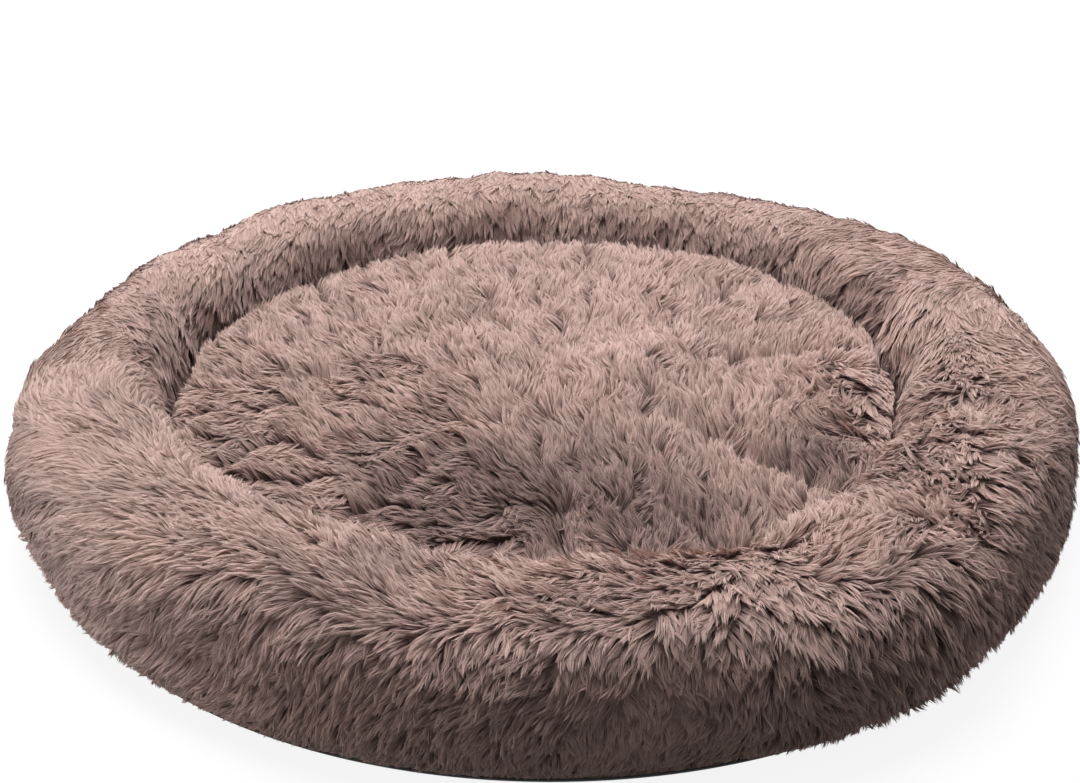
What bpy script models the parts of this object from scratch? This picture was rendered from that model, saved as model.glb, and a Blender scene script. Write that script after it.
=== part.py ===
# Round shag cushion for a large pet: a plump bolster ring round a padded seat.
# Metres, +Z up, the front towards -Y. The origin is on the floor, under the middle.
# Angles round the ring start at the front and run towards +X.

import math

import bmesh
import bpy
import numpy as np
from mathutils import Matrix, Vector

# Overall sizes
overall_diameter = 1.144
overall_height = 0.176
bolster_width = 0.200
pile = 0.016  # how far the fur stands out from its backing
clearance = 0.0003
angle_step = math.radians(5)
coarse_step = math.radians(10)

# Base panel
base_cloth = 0.0016
lip_height = 0.0127
lip_stand = 0.0105  # from the stuffed bolster out to the lip's top edge
lip_reach = 0.027  # how far in from its top edge the lip starts to rise
lip_steps = 4

# Bolster section
top_squareness = 2.55
foot_squareness = 3.2
middle_height_share = 0.46
wall_rows = 8
crest_rows = 6
inner_hem_height = 0.070

# Swells of the outline, from a hand-filled ring: count round the ring, share, place in degrees
outline_swells = ((3, 0.009, 16), (4, 0.011, 18), (5, 0.006, -5), (7, 0.004, 36))
inner_swell_share = 0.35
inner_turn = math.radians(70)  # where the section's inner side starts
inner_spread = math.radians(60)

# The ring is slimmer at the back and on the left, where the nest reaches further out
nest_share = 0.047
nest_swells = ((1, 0.058, 194), (3, 0.016, 17))
crest_swells = ((2, 0.012, 60), (3, 0.020, 100), (5, 0.016, 40))
still_height = 0.047

# Gathers that pinch the crest and the inner wall
gather_places = (-91, -45, -16, 29, 50, 76, 97, 116, 150, 196, 232, 251)
gather_depth_shares = (0.8, 0.4, 0.5, 0.7, 0.5, 1.0, 0.5, 0.9, 0.4, 0.5, 0.4, 0.7)
gather_tuck = 0.011
gather_drop = 0.006
gather_spread = math.radians(6.5)

# Lining and filling
liner_cloth = 0.0008
side_slack = 0.003  # from the cover in to the lining, on the outer side
slack_spread = math.radians(30)
liner_rows = 6
fill_rows = 12
fine_steps = 60  # for each row, when turns are spaced evenly
divider_cloth = 0.0012
divider_stand = 0.0030  # from the bolster's filled inner side to the divider

# Seat
seat_rim_height = 0.098
seat_tilt_share = 0.040  # rise towards the back, as a share of the way there
seat_crown = 0.034
seat_crown_power = 0.65
seat_rows = 7
seat_row_power = 1.15
seat_fill_rows = 4
seat_tuck = 0.004  # from the fur's inner side to the seat filling's top rim
seat_side_swell = 0.009
crease_places = (-38, 3, 30, 60, 110, 140, 205, 262)
crease_depth_shares = (0.55, 0.7, 1.0, 1.0, 0.7, 0.6, 0.5, 0.6)
crease_depth = 0.010
crease_width = 0.020
crease_start_share = 0.15
crease_rise_share = 0.6
lobe_places = (
    (0.17, 0.06, 0.13, 1.0),
    (0.27, -0.10, 0.08, 0.7),
    (-0.13, 0.05, 0.16, 0.5),
    (0.56, -0.02, 0.10, 1.0),
)
lobe_height = 0.008

# Zip in the seam between the wall and the base, at the back
zip_middle = math.radians(180)
zip_spread = math.radians(90)
zip_step = math.radians(3)
zip_rise = 0.030
zip_stand = 0.0058  # from the stuffed bolster out to the upper tape's top edge
tape_cloth = 0.0009
coil_width = 0.0032
coil_height = 0.0024
coil_gap = 0.0014
tape_end = 0.032  # plain tape past each stop
stop_length = 0.004
stop_height = 0.0030

# Slider and its pull
slider_length = 0.015
slider_play = 0.0004
wing_thickness = 0.0012
flange_width = 0.0012
bridge_width = 0.0006
bridge_length = 0.004
bail_width = 0.0020
bail_length = 0.0090
bail_wire = 0.0012
pull_length = 0.026
pull_width = 0.0090
pull_thickness = 0.0014
pull_play = 0.0005
eye_length = 0.0060
eye_width = 0.0032
grip_margin = 0.0022
grip_depth = 0.0004
corner_steps = 4
sharp_angle = math.radians(50)

# Sizes that follow from those above
overall_radius = overall_diameter / 2
middle_radius = overall_radius - bolster_width / 2
body_half_width = bolster_width / 2 - pile
body_foot = base_cloth + clearance
body_middle = middle_height_share * overall_height
body_drop = body_middle - body_foot
body_rise = overall_height - pile - body_middle


def smooth(share):
    share = np.clip(share, 0, 1)
    return share * share * (3 - 2 * share)


def waves(table, angle):
    """The sum of slow waves round the ring, each with its count, share and place in degrees."""
    return sum(share * np.cos(count * (angle - math.radians(place))) for count, share, place in table)


def bump(distance, spread):
    return np.exp(-((distance / spread) ** 2))


def gather(angle):
    """How deep the gathers pinch at this angle, from 0 to about 1."""
    total = 0
    for place, depth_share in zip(gather_places, gather_depth_shares):
        apart = (angle - math.radians(place) + math.pi) % (2 * math.pi) - math.pi
        total = total + depth_share * bump(apart, gather_spread)
    return total


def unit_section(turn):
    """Steps across and up on a section of half width and height 1, squarer than round."""
    across, up = np.cos(turn), np.sin(turn)
    power = np.where(up >= 0, 2 / top_squareness, 2 / foot_squareness)
    return np.sign(across) * np.abs(across) ** power, np.sign(up) * np.abs(up) ** power


def section(turn, grow=0.0, foot=0.0):
    """Radius and height on the bolster's section. turn is 0 outermost, 90 degrees at the crest and 180
    innermost, and negative underneath. grow swells the filled section, and foot lifts its underside."""
    across, up = unit_section(turn)
    reach = np.where(up >= 0, body_rise + grow, body_drop - foot)
    return middle_radius + (body_half_width + grow) * across, body_middle + reach * up


def inward(turn):
    """0 on the outer side of the bolster and 1 on its inner side."""
    return smooth((turn - inner_turn) / inner_spread)


def nest(angle):
    """How much further out the bolster's inner side lies than in a ring of one width."""
    return overall_radius * (nest_share + waves(nest_swells, angle))


def shift(angle, turn, height):
    """How far the hand-filled ring moves out of round. Near the floor only its inner side does."""
    lift = smooth((height - still_height) / (inner_hem_height - still_height))
    side = 1 + (inner_swell_share - 1) * inward(turn)
    swell = overall_radius * waves(outline_swells, angle) * side
    inner_part = ((1 - unit_section(turn)[0]) / 2) ** 2
    return nest(angle) * inner_part + lift * (swell + gather_tuck * gather(angle) * inward(turn))


def crest_shift(angle, turn):
    """How far the top rises or drops."""
    top = smooth(np.sin(turn))
    swell = overall_height * waves(crest_swells, angle)
    return top * (swell - gather_drop * gather(angle))


def around(radius, angle, height):
    """Points from radius, angle and height, as an array whose last axis is x, y, z."""
    radius, angle, height = np.broadcast_arrays(radius, angle, height)
    return np.stack([radius * np.sin(angle), -radius * np.cos(angle), height], axis=-1)


def bolster(angles, turns, grow=0.0, foot=0.0):
    """A grid of points on the bolster, or on a layer of it."""
    angle, turn = np.meshgrid(angles, turns, indexing="ij")
    radius, height = section(turn, grow, foot)
    return around(radius + shift(angle, turn, height), angle, height + crest_shift(angle, turn))


def slack(turn):
    """How far the lining stays in from the cover, so that it clears the swells and the gathers."""
    inner = np.maximum(gather_drop * smooth(np.sin(turn)), gather_tuck * inward(turn))
    return np.maximum(inner, side_slack * smooth((turn + math.pi / 2) / slack_spread))


def side_turn(height):
    """The turn at which the filled section's outer side is this high above the floor."""
    if height > body_middle:
        return math.asin(((height - body_middle) / body_rise) ** (top_squareness / 2))
    return -math.asin(((body_middle - height) / body_drop) ** (foot_squareness / 2))


def even_turns(first, last, rows):
    """Turns that divide the section between two turns into rows of one length."""
    fine = np.linspace(first, last, fine_steps * rows)
    radius, height = section(fine)
    length = np.concatenate([[0], np.cumsum(np.hypot(np.diff(radius), np.diff(height)))])
    return np.interp(np.linspace(0, length[-1], rows + 1), length, fine)


def even_angles(first, last, step):
    return np.linspace(first, last, max(1, round((last - first) / step)) + 1)


def full_turn(step):
    """Angles all round the ring, without the last, which is the first again."""
    return np.arange(0, 2 * math.pi - step / 2, step)


def body_side(height):
    """Radius of the filled bolster's outer side at a height."""
    return float(section(side_turn(height))[0])


# Making meshes and objects


def material(name, colour, roughness, metallic=0.0):
    made = bpy.data.materials.new(name)
    made.use_nodes = True
    shader = made.node_tree.nodes["Principled BSDF"]
    shader.inputs["Base Color"].default_value = (*colour, 1)
    shader.inputs["Roughness"].default_value = roughness
    shader.inputs["Metallic"].default_value = metallic
    made.diffuse_color = (*colour, 1)
    return made


def placed(name, mesh, finish, parent=None):
    mesh.name = name
    mesh.materials.clear()
    mesh.materials.append(finish)
    mesh.shade_smooth()
    mesh.set_sharp_from_angle(angle=sharp_angle)
    piece = bpy.data.objects.new(name, mesh)
    bpy.context.collection.objects.link(piece)
    piece.parent = parent
    return piece


def patch(form, grid, i, j):
    """Two triangles between four neighbours of a grid. Every layer is split along the same diagonal, so
    that layers which follow each other closely don't cross."""
    after, above = (i + 1) % len(grid), (j + 1) % len(grid[0])
    form.faces.new((grid[i][j], grid[after][j], grid[after][above]))
    form.faces.new((grid[i][j], grid[after][above], grid[i][above]))


def between(outer, inner, closed):
    """A closed mesh between two grids of points that match. The first axis runs round the ring, and
    closed joins its ends. Rows that meet in one point are merged."""
    rounds, rows = outer.shape[:2]
    form = bmesh.new()
    layers = [[[form.verts.new(point) for point in line] for line in grid] for grid in (outer, inner)]
    for i in range(rounds if closed else rounds - 1):
        after = (i + 1) % rounds
        for j in range(rows - 1):
            patch(form, layers[0], i, j)
            patch(form, layers[1], i, j)
        for j in (0, rows - 1):
            form.faces.new((layers[0][i][j], layers[0][after][j], layers[1][after][j], layers[1][i][j]))
    if not closed:
        for i in (0, rounds - 1):
            for j in range(rows - 1):
                form.faces.new((layers[0][i][j], layers[0][i][j + 1], layers[1][i][j + 1], layers[1][i][j]))
    return finished(form)


def stuffing(grid, ring):
    """A closed mesh from one grid that runs right round. In a ring the rows close too, and otherwise the
    first and the last row are the two poles."""
    rounds, rows = grid.shape[:2]
    form = bmesh.new()
    points = [[form.verts.new(point) for point in line] for line in grid]
    for i in range(rounds):
        for j in range(rows if ring else rows - 1):
            patch(form, points, i, j)
    return finished(form)


def finished(form):
    bmesh.ops.remove_doubles(form, verts=form.verts, dist=clearance / 100)
    bmesh.ops.recalc_face_normals(form, faces=form.faces)
    mesh = bpy.data.meshes.new("mesh")
    form.to_mesh(mesh)
    form.free()
    return mesh


def prism(outline, low, high, along):
    """An outline of two coordinates, pushed out from low to high along the axis of this number."""
    form = bmesh.new()
    ends = []
    for level in (low, high):
        ends.append([form.verts.new(np.insert(point, along, level)) for point in outline])
        form.faces.new(ends[-1])
    for i in range(len(outline)):
        after = (i + 1) % len(outline)
        form.faces.new((ends[0][i], ends[0][after], ends[1][after], ends[1][i]))
    return finished(form)


def block(low, high):
    """A box between two corners."""
    outline = [(low[0], low[1]), (high[0], low[1]), (high[0], high[1]), (low[0], high[1])]
    return prism(outline, low[2], high[2], 2)


def rounded(low, high, radius):
    """The outline of a rectangle with round corners."""
    points = []
    corners = ((high[0], high[1], 0), (low[0], high[1], 90), (low[0], low[1], 180), (high[0], low[1], 270))
    for x, y, start in corners:
        middle_x = x - math.copysign(radius, x - (low[0] + high[0]) / 2)
        middle_y = y - math.copysign(radius, y - (low[1] + high[1]) / 2)
        for i in range(corner_steps + 1):
            turn = math.radians(start + 90 * i / corner_steps)
            points.append((middle_x + radius * math.cos(turn), middle_y + radius * math.sin(turn)))
    return points


def combined(meshes, cutters=()):
    """One mesh from closed meshes that overlap, less the cutters."""
    objects = [bpy.data.objects.new("shape", mesh) for mesh in (*meshes, *cutters)]
    for piece in objects:
        bpy.context.collection.objects.link(piece)
    for number, piece in enumerate(objects[1:], start=1):
        change = objects[0].modifiers.new("combine", "BOOLEAN")
        change.operation = "UNION" if number < len(meshes) else "DIFFERENCE"
        change.solver = "EXACT"
        change.object = piece
    bpy.context.view_layer.update()
    graph = bpy.context.evaluated_depsgraph_get()
    mesh = bpy.data.meshes.new_from_object(objects[0].evaluated_get(graph))
    for piece in objects:
        bpy.data.objects.remove(piece)
    return mesh


# The fur cover


def fur_panels(fur):
    """Four outer wall panels and four inner wall panels, sewn end to end and along the crest."""
    crest_inset = math.acos((clearance / 2 / body_half_width) ** (top_squareness / 2))
    end_inset = clearance / 2 / (middle_radius - body_half_width - pile)
    quarter = math.radians(90)
    hem_height = {"front": lip_height, "right": lip_height, "back": band_top()[1], "left": lip_height}
    for number, side in enumerate(("front", "right", "back", "left")):
        middle = number * quarter
        angles = even_angles(middle - quarter / 2, middle + quarter / 2, angle_step)
        angles[0] += end_inset
        angles[-1] -= end_inset
        low = side_turn(hem_height[side] + clearance)
        outer_turns = even_turns(low, crest_inset, wall_rows)
        high = math.pi - side_turn(inner_hem_height)
        inner_turns = even_turns(math.pi - crest_inset, high, crest_rows)
        for part, turns in (("outer_wall", outer_turns), ("inner_wall", inner_turns)):
            mesh = between(bolster(angles, turns, pile), bolster(angles, turns, clearance), False)
            placed(f"{part}_fur_{side}", mesh, fur)


def seat_top(x, y, angle, share):
    """Height of the seat's fur. share is 0 at the middle and 1 at the rim."""
    height = seat_rim_height + seat_tilt_share * y + seat_crown * (1 - share**2) ** seat_crown_power
    for lobe_x, lobe_y, spread, height_share in lobe_places:
        across = np.hypot(x - lobe_x * overall_radius, y - lobe_y * overall_radius)
        free = 1 - share**4
        height = height + lobe_height * height_share * free * bump(across, spread * overall_radius)
    for place, depth_share in zip(crease_places, crease_depth_shares):
        apart = angle - math.radians(place)
        beside = np.hypot(x, y) * np.sin(apart)
        ahead = np.cos(apart) > 0
        reach = smooth((share - crease_start_share) / crease_rise_share) * (1 - share**6)
        height = height - ahead * crease_depth * depth_share * reach * bump(beside, crease_width)
    return height


def seat_rim(angle):
    """Radius of the bolster's fur on its inner side, where the seat meets it."""
    return middle_radius - body_half_width - pile + shift(angle, math.pi, body_middle)


def seat_grid(angles, rims, rows, sink):
    """Points on the seat, from its rim in to the middle, or on a layer of it that lies lower."""
    shares = 1 - np.linspace(0, 1, rows + 1) ** seat_row_power
    angle, share = np.meshgrid(angles, shares, indexing="ij")
    spot = around(share * rims[:, None], angle, 0.0)
    spot[..., 2] = seat_top(spot[..., 0], spot[..., 1], angle, share) - sink
    return spot


def seat_cover(fur):
    angles = full_turn(angle_step)
    rims = seat_rim(angles) - clearance
    outer = seat_grid(angles, rims, seat_rows, 0.0)
    inner = seat_grid(angles, rims, seat_rows, pile)
    placed("seat_fur", between(outer, inner, True), fur)


# The base


def lip_top():
    """Radius and height of the base lip's top edge, on its outer side."""
    return body_side(lip_height) + lip_stand + base_cloth, lip_height


def base_panel(cloth):
    """A disc of cloth whose edge turns up in a quarter round, to where the wall is sewn to it."""
    radius, height = lip_top()
    start = radius - lip_reach
    outer, inner = [(0.0, 0.0)], [(0.0, base_cloth)]
    for i in range(lip_steps + 1):
        turn = i / lip_steps * math.pi / 2
        outer.append((start + lip_reach * math.sin(turn), height * (1 - math.cos(turn))))
        thin = lip_reach - base_cloth
        rise = (height - base_cloth) * (1 - math.cos(turn))
        inner.append((start + thin * math.sin(turn), base_cloth + rise))
    angles = full_turn(angle_step)
    grids = []
    for profile in (outer, inner):
        profile = np.array(profile)
        angle, row = np.meshgrid(angles, np.arange(len(profile)), indexing="ij")
        grids.append(around(profile[row, 0], angle, profile[row, 1]))
    placed("base_panel", between(*grids, True), cloth)


# Lining and filling


def ring_insert(lining, filling):
    """The ring's roll of fibre in its sleeve, which is sewn along the crest and under the middle."""
    angles = full_turn(coarse_step)
    seam = math.acos((clearance / body_half_width) ** (top_squareness / 2))
    under = math.acos((clearance / body_half_width) ** (foot_squareness / 2))
    halves = {
        "ring_sleeve_outer": (-under, seam),
        "ring_sleeve_inner": (math.pi - seam, math.pi + under),
    }
    for name, (first, last) in halves.items():
        turns = even_turns(first, last, liner_rows)
        outer = bolster(angles, turns, -slack(turns))
        inner = bolster(angles, turns, -slack(turns) - liner_cloth, liner_cloth)
        placed(name, between(outer, inner, True), lining)
    turns = even_turns(-math.pi / 2, 1.5 * math.pi, fill_rows)[:-1]
    gap = liner_cloth + clearance
    placed("ring_fibre", stuffing(bolster(angles, turns, -slack(turns) - gap, gap), True), filling)


def divider(lining):
    """The plain strip that parts the ring's pocket from the seat's, from the base up to the inner wall."""
    angles = full_turn(coarse_step)
    heights = np.array([base_cloth + clearance, inner_hem_height - clearance])
    angle, height = np.meshgrid(angles, heights, indexing="ij")
    radius = middle_radius - body_half_width - divider_stand + nest(angle)
    outer = around(radius, angle, height)
    inner = around(radius - divider_cloth, angle, height)
    placed("pocket_divider", between(outer, inner, True), lining)


def seat_filling_rim(angles):
    """Radius of the seat filling where its top and its side meet."""
    inner = middle_radius - body_half_width - pile - seat_tuck + nest(angles)
    return inner + np.minimum(0, shift(angles, math.pi, body_middle) - nest(angles))


def seat_side(angles, rims, sink, foot):
    """The seat filling's side, which draws in at both ends and sags below its middle, and its underside,
    from the rim in to the middle. sink is how far the rim lies below the fur's."""
    top = seat_rim_height - sink - seat_tilt_share * rims * np.cos(angles)
    lines = []
    for turn in np.linspace(math.pi / 2, -math.pi / 2, seat_fill_rows + 1):
        height = foot + (top - foot) * (1 + math.sin(turn)) / 2
        lines.append((rims + seat_side_swell * math.cos(turn) * (1 - math.sin(turn)), height))
    lines.append((rims / 2, foot))
    lines.append((rims * 0, foot))
    return np.stack([around(radius, angles, height) for radius, height in lines], axis=1)


def seat_insert(lining, filling):
    """The seat's pad of fibre in its case, whose top and bottom are sewn together round the rim."""
    angles = full_turn(coarse_step)
    rims = seat_filling_rim(angles)
    sink = pile + clearance + crease_depth
    foot = base_cloth + clearance
    layers = [seat_grid(angles, rims, seat_fill_rows, sink + depth) for depth in (0, liner_cloth)]
    placed("seat_case_top", between(*layers, True), lining)
    gap = liner_cloth + clearance
    outer = seat_side(angles, rims, sink + gap, foot)
    inner = seat_side(angles, rims - liner_cloth, sink + gap, foot + liner_cloth)
    placed("seat_case_bottom", between(outer, inner, True), lining)
    crown = seat_grid(angles, rims - gap, seat_fill_rows, sink + gap)
    side = seat_side(angles, rims - gap, sink + gap, foot + gap)
    placed("seat_fibre", stuffing(np.concatenate([side[:, ::-1], crown], axis=1), False), filling)


# The zip


def band_bottom():
    """Radius and height where the zip's lower tape starts, just above the lip."""
    radius, height = lip_top()
    return radius - base_cloth, height + clearance + tape_cloth


def band_top():
    """Radius and height where the zip's upper tape ends, just under the fur."""
    height = band_bottom()[1] + zip_rise
    return body_side(height) + zip_stand, height


def band_frame():
    """The band's start, its unit step up the slope, its unit step outwards and its length."""
    low, high = Vector(band_bottom()), Vector(band_top())
    up = (high - low).normalized()
    return low, up, Vector((up.y, -up.x)), (high - low).length


def band_point(angle, across, out):
    """A point on the zip's band. across runs up the slope from its middle, and out from the tape's back."""
    low, up, outwards, length = band_frame()
    spot = low + up * (length / 2 + across) + outwards * out
    return around(spot.x, angle, spot.y)


def band_radius():
    low, up, _, length = band_frame()
    return (low + up * length / 2).x


def band_strip(first, last, outline):
    """A strip that runs round the band, with this outline across it."""
    angles = even_angles(first, last, zip_step)
    form = bmesh.new()
    rings = []
    for angle in angles:
        rings.append([form.verts.new(band_point(angle, across, out)) for across, out in outline])
    for ring, after in zip(rings, rings[1:]):
        for j in range(len(outline)):
            beside = (j + 1) % len(outline)
            form.faces.new((ring[j], ring[beside], after[beside], after[j]))
    form.faces.new(rings[0])
    form.faces.new(rings[-1])
    return finished(form)


def zip_ends():
    """The angles at which the tapes end."""
    end_gap = clearance / band_radius()
    return zip_middle - zip_spread / 2 + end_gap, zip_middle + zip_spread / 2 - end_gap


def slider_reach():
    """The angle from a tape's end to the slider's middle, when the slider stands at its stop."""
    return (tape_end + stop_length + clearance + slider_length / 2) / band_radius()


def zip_fastener(tape, coil, metal):
    """Two tapes with a coil row each, and the stops at both ends of the rows."""
    half_length = band_frame()[3] / 2
    first, last = zip_ends()
    end_gap = clearance / band_radius()
    stop_angle = tape_end / band_radius()
    stop_span = stop_length / band_radius()
    row_low, row_high = coil_gap / 2, coil_gap / 2 + coil_width
    coil_base = tape_cloth + clearance
    half_round = []
    for i in range(corner_steps + 1):
        turn = math.pi * i / corner_steps
        half_round.append((math.cos(turn), math.sin(turn)))
    for name, side in (("upper", 1), ("lower", -1)):
        edges = ((row_low, 0.0), (half_length, 0.0), (half_length, tape_cloth), (row_low, tape_cloth))
        outline = [(side * across, out) for across, out in edges]
        placed(f"zip_tape_{name}", band_strip(first, last, outline), tape)
        row_middle = (row_low + row_high) / 2
        bead = [
            (side * (row_middle + x * coil_width / 2), coil_base + y * coil_height)
            for x, y in half_round
        ]
        low, high = first + stop_angle + stop_span, last - stop_angle - stop_span
        placed(f"zip_coil_{name}", band_strip(low + end_gap, high - end_gap, bead), coil)
        clip = [
            (side * row_low, coil_base),
            (side * row_high, coil_base),
            (side * row_high, coil_base + stop_height),
            (side * row_low, coil_base + stop_height),
        ]
        place = last - stop_angle
        placed(f"zip_top_stop_{name}", band_strip(place - stop_span, place, clip), metal)
    box = [(-row_high, coil_base), (row_high, coil_base)]
    box += [(row_high, coil_base + stop_height), (-row_high, coil_base + stop_height)]
    place = first + stop_angle
    placed("zip_bottom_stop", band_strip(place, place + stop_span, box), metal)


def slider_place():
    """The slider's turn about the zip's axis, in the frame: along the travel, up the slope, outwards."""
    _, up, outwards, _ = band_frame()
    angle = zip_ends()[1] - slider_reach()
    spot = Vector(band_point(angle, 0.0, 0.0))
    radial = Vector((math.sin(angle), -math.cos(angle), 0))
    along = Vector((math.cos(angle), math.sin(angle), 0))
    rise = radial * up.x + Vector((0, 0, up.y))
    out = radial * outwards.x + Vector((0, 0, outwards.y))
    turned = Matrix((along, rise, out)).transposed().to_4x4()
    return Matrix.Translation(spot) @ turned


def slider_levels():
    """Heights out from the tape's back: the top of the coils' room, and the top of the outer wing."""
    room = tape_cloth + clearance + coil_height + slider_play
    return room, room + wing_thickness


def bail_arc(half, foot, height):
    """A blunt arch between two feet, as points along the travel and out from the tape."""
    turns = np.linspace(0, math.pi, 2 * corner_steps + 1)
    return [(half * math.cos(turn), foot + height * math.sqrt(max(0, math.sin(turn)))) for turn in turns]


def slider(metal):
    """Two wings joined by a thin bridge between the coil rows, side flanges, and the bail for the pull."""
    room, wing_top = slider_levels()
    half = slider_length / 2
    inside = coil_gap / 2 + coil_width + slider_play
    outside = inside + flange_width
    corner = outside / 2
    wing = rounded((-half, -outside), (half, outside), corner)
    under = -slider_play - wing_thickness
    meshes = [
        prism(wing, room, wing_top, 2),
        prism(wing, under, -slider_play, 2),
        block(
            (half - bridge_length - corner, -bridge_width / 2, under / 2),
            (half - corner, bridge_width / 2, (room + wing_top) / 2),
        ),
    ]
    for side in (-1, 1):
        low, high = sorted((side * inside, side * outside))
        foot = tape_cloth + slider_play
        meshes.append(block((corner - half, low, foot), (half - corner, high, (room + wing_top) / 2)))
    arch_height = 3 * pull_play + pull_thickness
    root = wing_top - wing_thickness / 2
    arch = [(bail_length / 2, root)] + bail_arc(bail_length / 2, wing_top, arch_height + bail_wire)
    arch += [(-bail_length / 2, root), (bail_wire - bail_length / 2, root)]
    arch += bail_arc(bail_length / 2 - bail_wire, wing_top, arch_height)[::-1]
    arch += [(bail_length / 2 - bail_wire, root)]
    meshes.append(prism(arch, -bail_width / 2, bail_width / 2, 1))
    axis = bpy.data.objects.new("zip_axis", None)
    bpy.context.collection.objects.link(axis)
    axis.location.z = slider_place().translation.z
    piece = placed("zip_slider", combined(meshes), metal, axis)
    piece.matrix_basis = Matrix.Translation(-axis.location) @ slider_place()
    return piece


def pull(metal, carrier):
    """The pull tab. Its crossbar lies under the bail, and it rests back along the coils."""
    _, wing_top = slider_levels()
    half_bar = pull_thickness / 2
    height = wing_top + 2 * pull_play + half_bar
    tab = rounded((-pull_length, -pull_width / 2), (half_bar, pull_width / 2), pull_width / 2 - pull_play)
    window = rounded((-eye_length, -eye_width / 2), (-half_bar, eye_width / 2), half_bar)
    grip_half = pull_width / 2 - grip_margin
    grip_foot = (-pull_length + grip_margin, -grip_half)
    grip = rounded(grip_foot, (-eye_length - 2 * grip_margin, grip_half), grip_half - pull_play)
    plate = prism(tab, -half_bar, half_bar, 2)
    hole = prism(window, -pull_thickness, pull_thickness, 2)
    panel = prism(grip, half_bar - grip_depth, pull_thickness, 2)
    piece = placed("zip_pull", combined([plate], [hole, panel]), metal, carrier)
    piece.location = (0, 0, height)


def main():
    for piece in list(bpy.data.objects):
        bpy.data.objects.remove(piece)
    fur = material("shag_fur", (0.34, 0.235, 0.21), 0.9)
    base_cloth_finish = material("base_cloth", (0.035, 0.034, 0.037), 0.85)
    lining = material("lining_cloth", (0.55, 0.53, 0.50), 0.9)
    filling = material("fibre_fill", (0.85, 0.85, 0.84), 1.0)
    tape = material("zip_tape", (0.10, 0.08, 0.075), 0.85)
    coil = material("zip_coil", (0.13, 0.10, 0.095), 0.45)
    metal = material("zip_metal", (0.33, 0.31, 0.30), 0.35, 1.0)
    fur_panels(fur)
    seat_cover(fur)
    base_panel(base_cloth_finish)
    ring_insert(lining, filling)
    divider(lining)
    seat_insert(lining, filling)
    zip_fastener(tape, coil, metal)
    pull(metal, slider(metal))


main()
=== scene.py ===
# Looks of the round shag cushion: the pile of its cover, the cloth base, the zip, the linings and the studio.
# Metres, +Z up, the front towards -Y. Angles round the ring start at the front and run towards +X.

import math
from types import SimpleNamespace

import bmesh
import bpy
import numpy as np
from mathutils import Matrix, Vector, noise


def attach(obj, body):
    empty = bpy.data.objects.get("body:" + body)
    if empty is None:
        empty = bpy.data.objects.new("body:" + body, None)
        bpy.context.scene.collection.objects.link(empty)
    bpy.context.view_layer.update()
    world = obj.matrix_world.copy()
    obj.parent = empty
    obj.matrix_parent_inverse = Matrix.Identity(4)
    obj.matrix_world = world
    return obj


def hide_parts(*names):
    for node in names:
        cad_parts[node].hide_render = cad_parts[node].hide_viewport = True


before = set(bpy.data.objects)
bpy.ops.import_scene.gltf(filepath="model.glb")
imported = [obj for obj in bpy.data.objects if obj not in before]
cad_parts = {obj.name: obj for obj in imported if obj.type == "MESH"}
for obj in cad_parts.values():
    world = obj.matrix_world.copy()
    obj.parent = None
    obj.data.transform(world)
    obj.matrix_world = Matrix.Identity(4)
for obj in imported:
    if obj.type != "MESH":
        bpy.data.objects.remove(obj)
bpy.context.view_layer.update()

# The form, in the same sizes as the construction
overall_radius = 0.572
overall_height = 0.176
bolster_width = 0.200
pile = 0.016
clearance = 0.0003
base_cloth = 0.0016
lip_height = 0.0127
lip_stand = 0.0105
lip_reach = 0.027
top_squareness = 2.55
foot_squareness = 3.2
middle_height_share = 0.46
inner_hem_height = 0.070
outline_swells = ((3, 0.009, 16), (4, 0.011, 18), (5, 0.006, -5), (7, 0.004, 36))
inner_swell_share = 0.35
inner_start = (70, 60)
nest_share = 0.047
nest_swells = ((1, 0.058, 194), (3, 0.016, 17))
crest_swells = ((2, 0.012, 60), (3, 0.020, 100), (5, 0.016, 40))
still_height = 0.047
gather_places = (-91, -45, -16, 29, 50, 76, 97, 116, 150, 196, 232, 251)
gather_depth_shares = (0.8, 0.4, 0.5, 0.7, 0.5, 1.0, 0.5, 0.9, 0.4, 0.5, 0.4, 0.7)
gather_tuck = 0.011
gather_drop = 0.006
gather_spread = 6.5
seat_rim_height = 0.098
seat_tilt_share = 0.040
seat_crown = 0.034
seat_crown_power = 0.65
crease_places = (-38, 3, 30, 60, 110, 140, 205, 262)
crease_depth_shares = (0.55, 0.7, 1.0, 1.0, 0.7, 0.6, 0.5, 0.6)
crease_depth = 0.010
crease_width = 0.020
crease_start_share = 0.15
crease_rise_share = 0.6
lobe_places = (
    (0.17, 0.06, 0.13, 1.0),
    (0.27, -0.10, 0.08, 0.7),
    (-0.13, 0.05, 0.16, 0.5),
    (0.56, -0.02, 0.10, 1.0),
)
lobe_height = 0.008
zip_middle = math.radians(180)
zip_spread = math.radians(90)
zip_rise = 0.030
zip_stand = 0.0058
tape_cloth = 0.0009
coil_width = 0.0032
coil_height = 0.0024
coil_gap = 0.0014
tape_end = 0.032
stop_length = 0.004

middle_radius = overall_radius - bolster_width / 2
body_half_width = bolster_width / 2 - pile
body_foot = base_cloth + clearance
body_middle = middle_height_share * overall_height
body_drop = body_middle - body_foot
body_rise = overall_height - pile - body_middle

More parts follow.
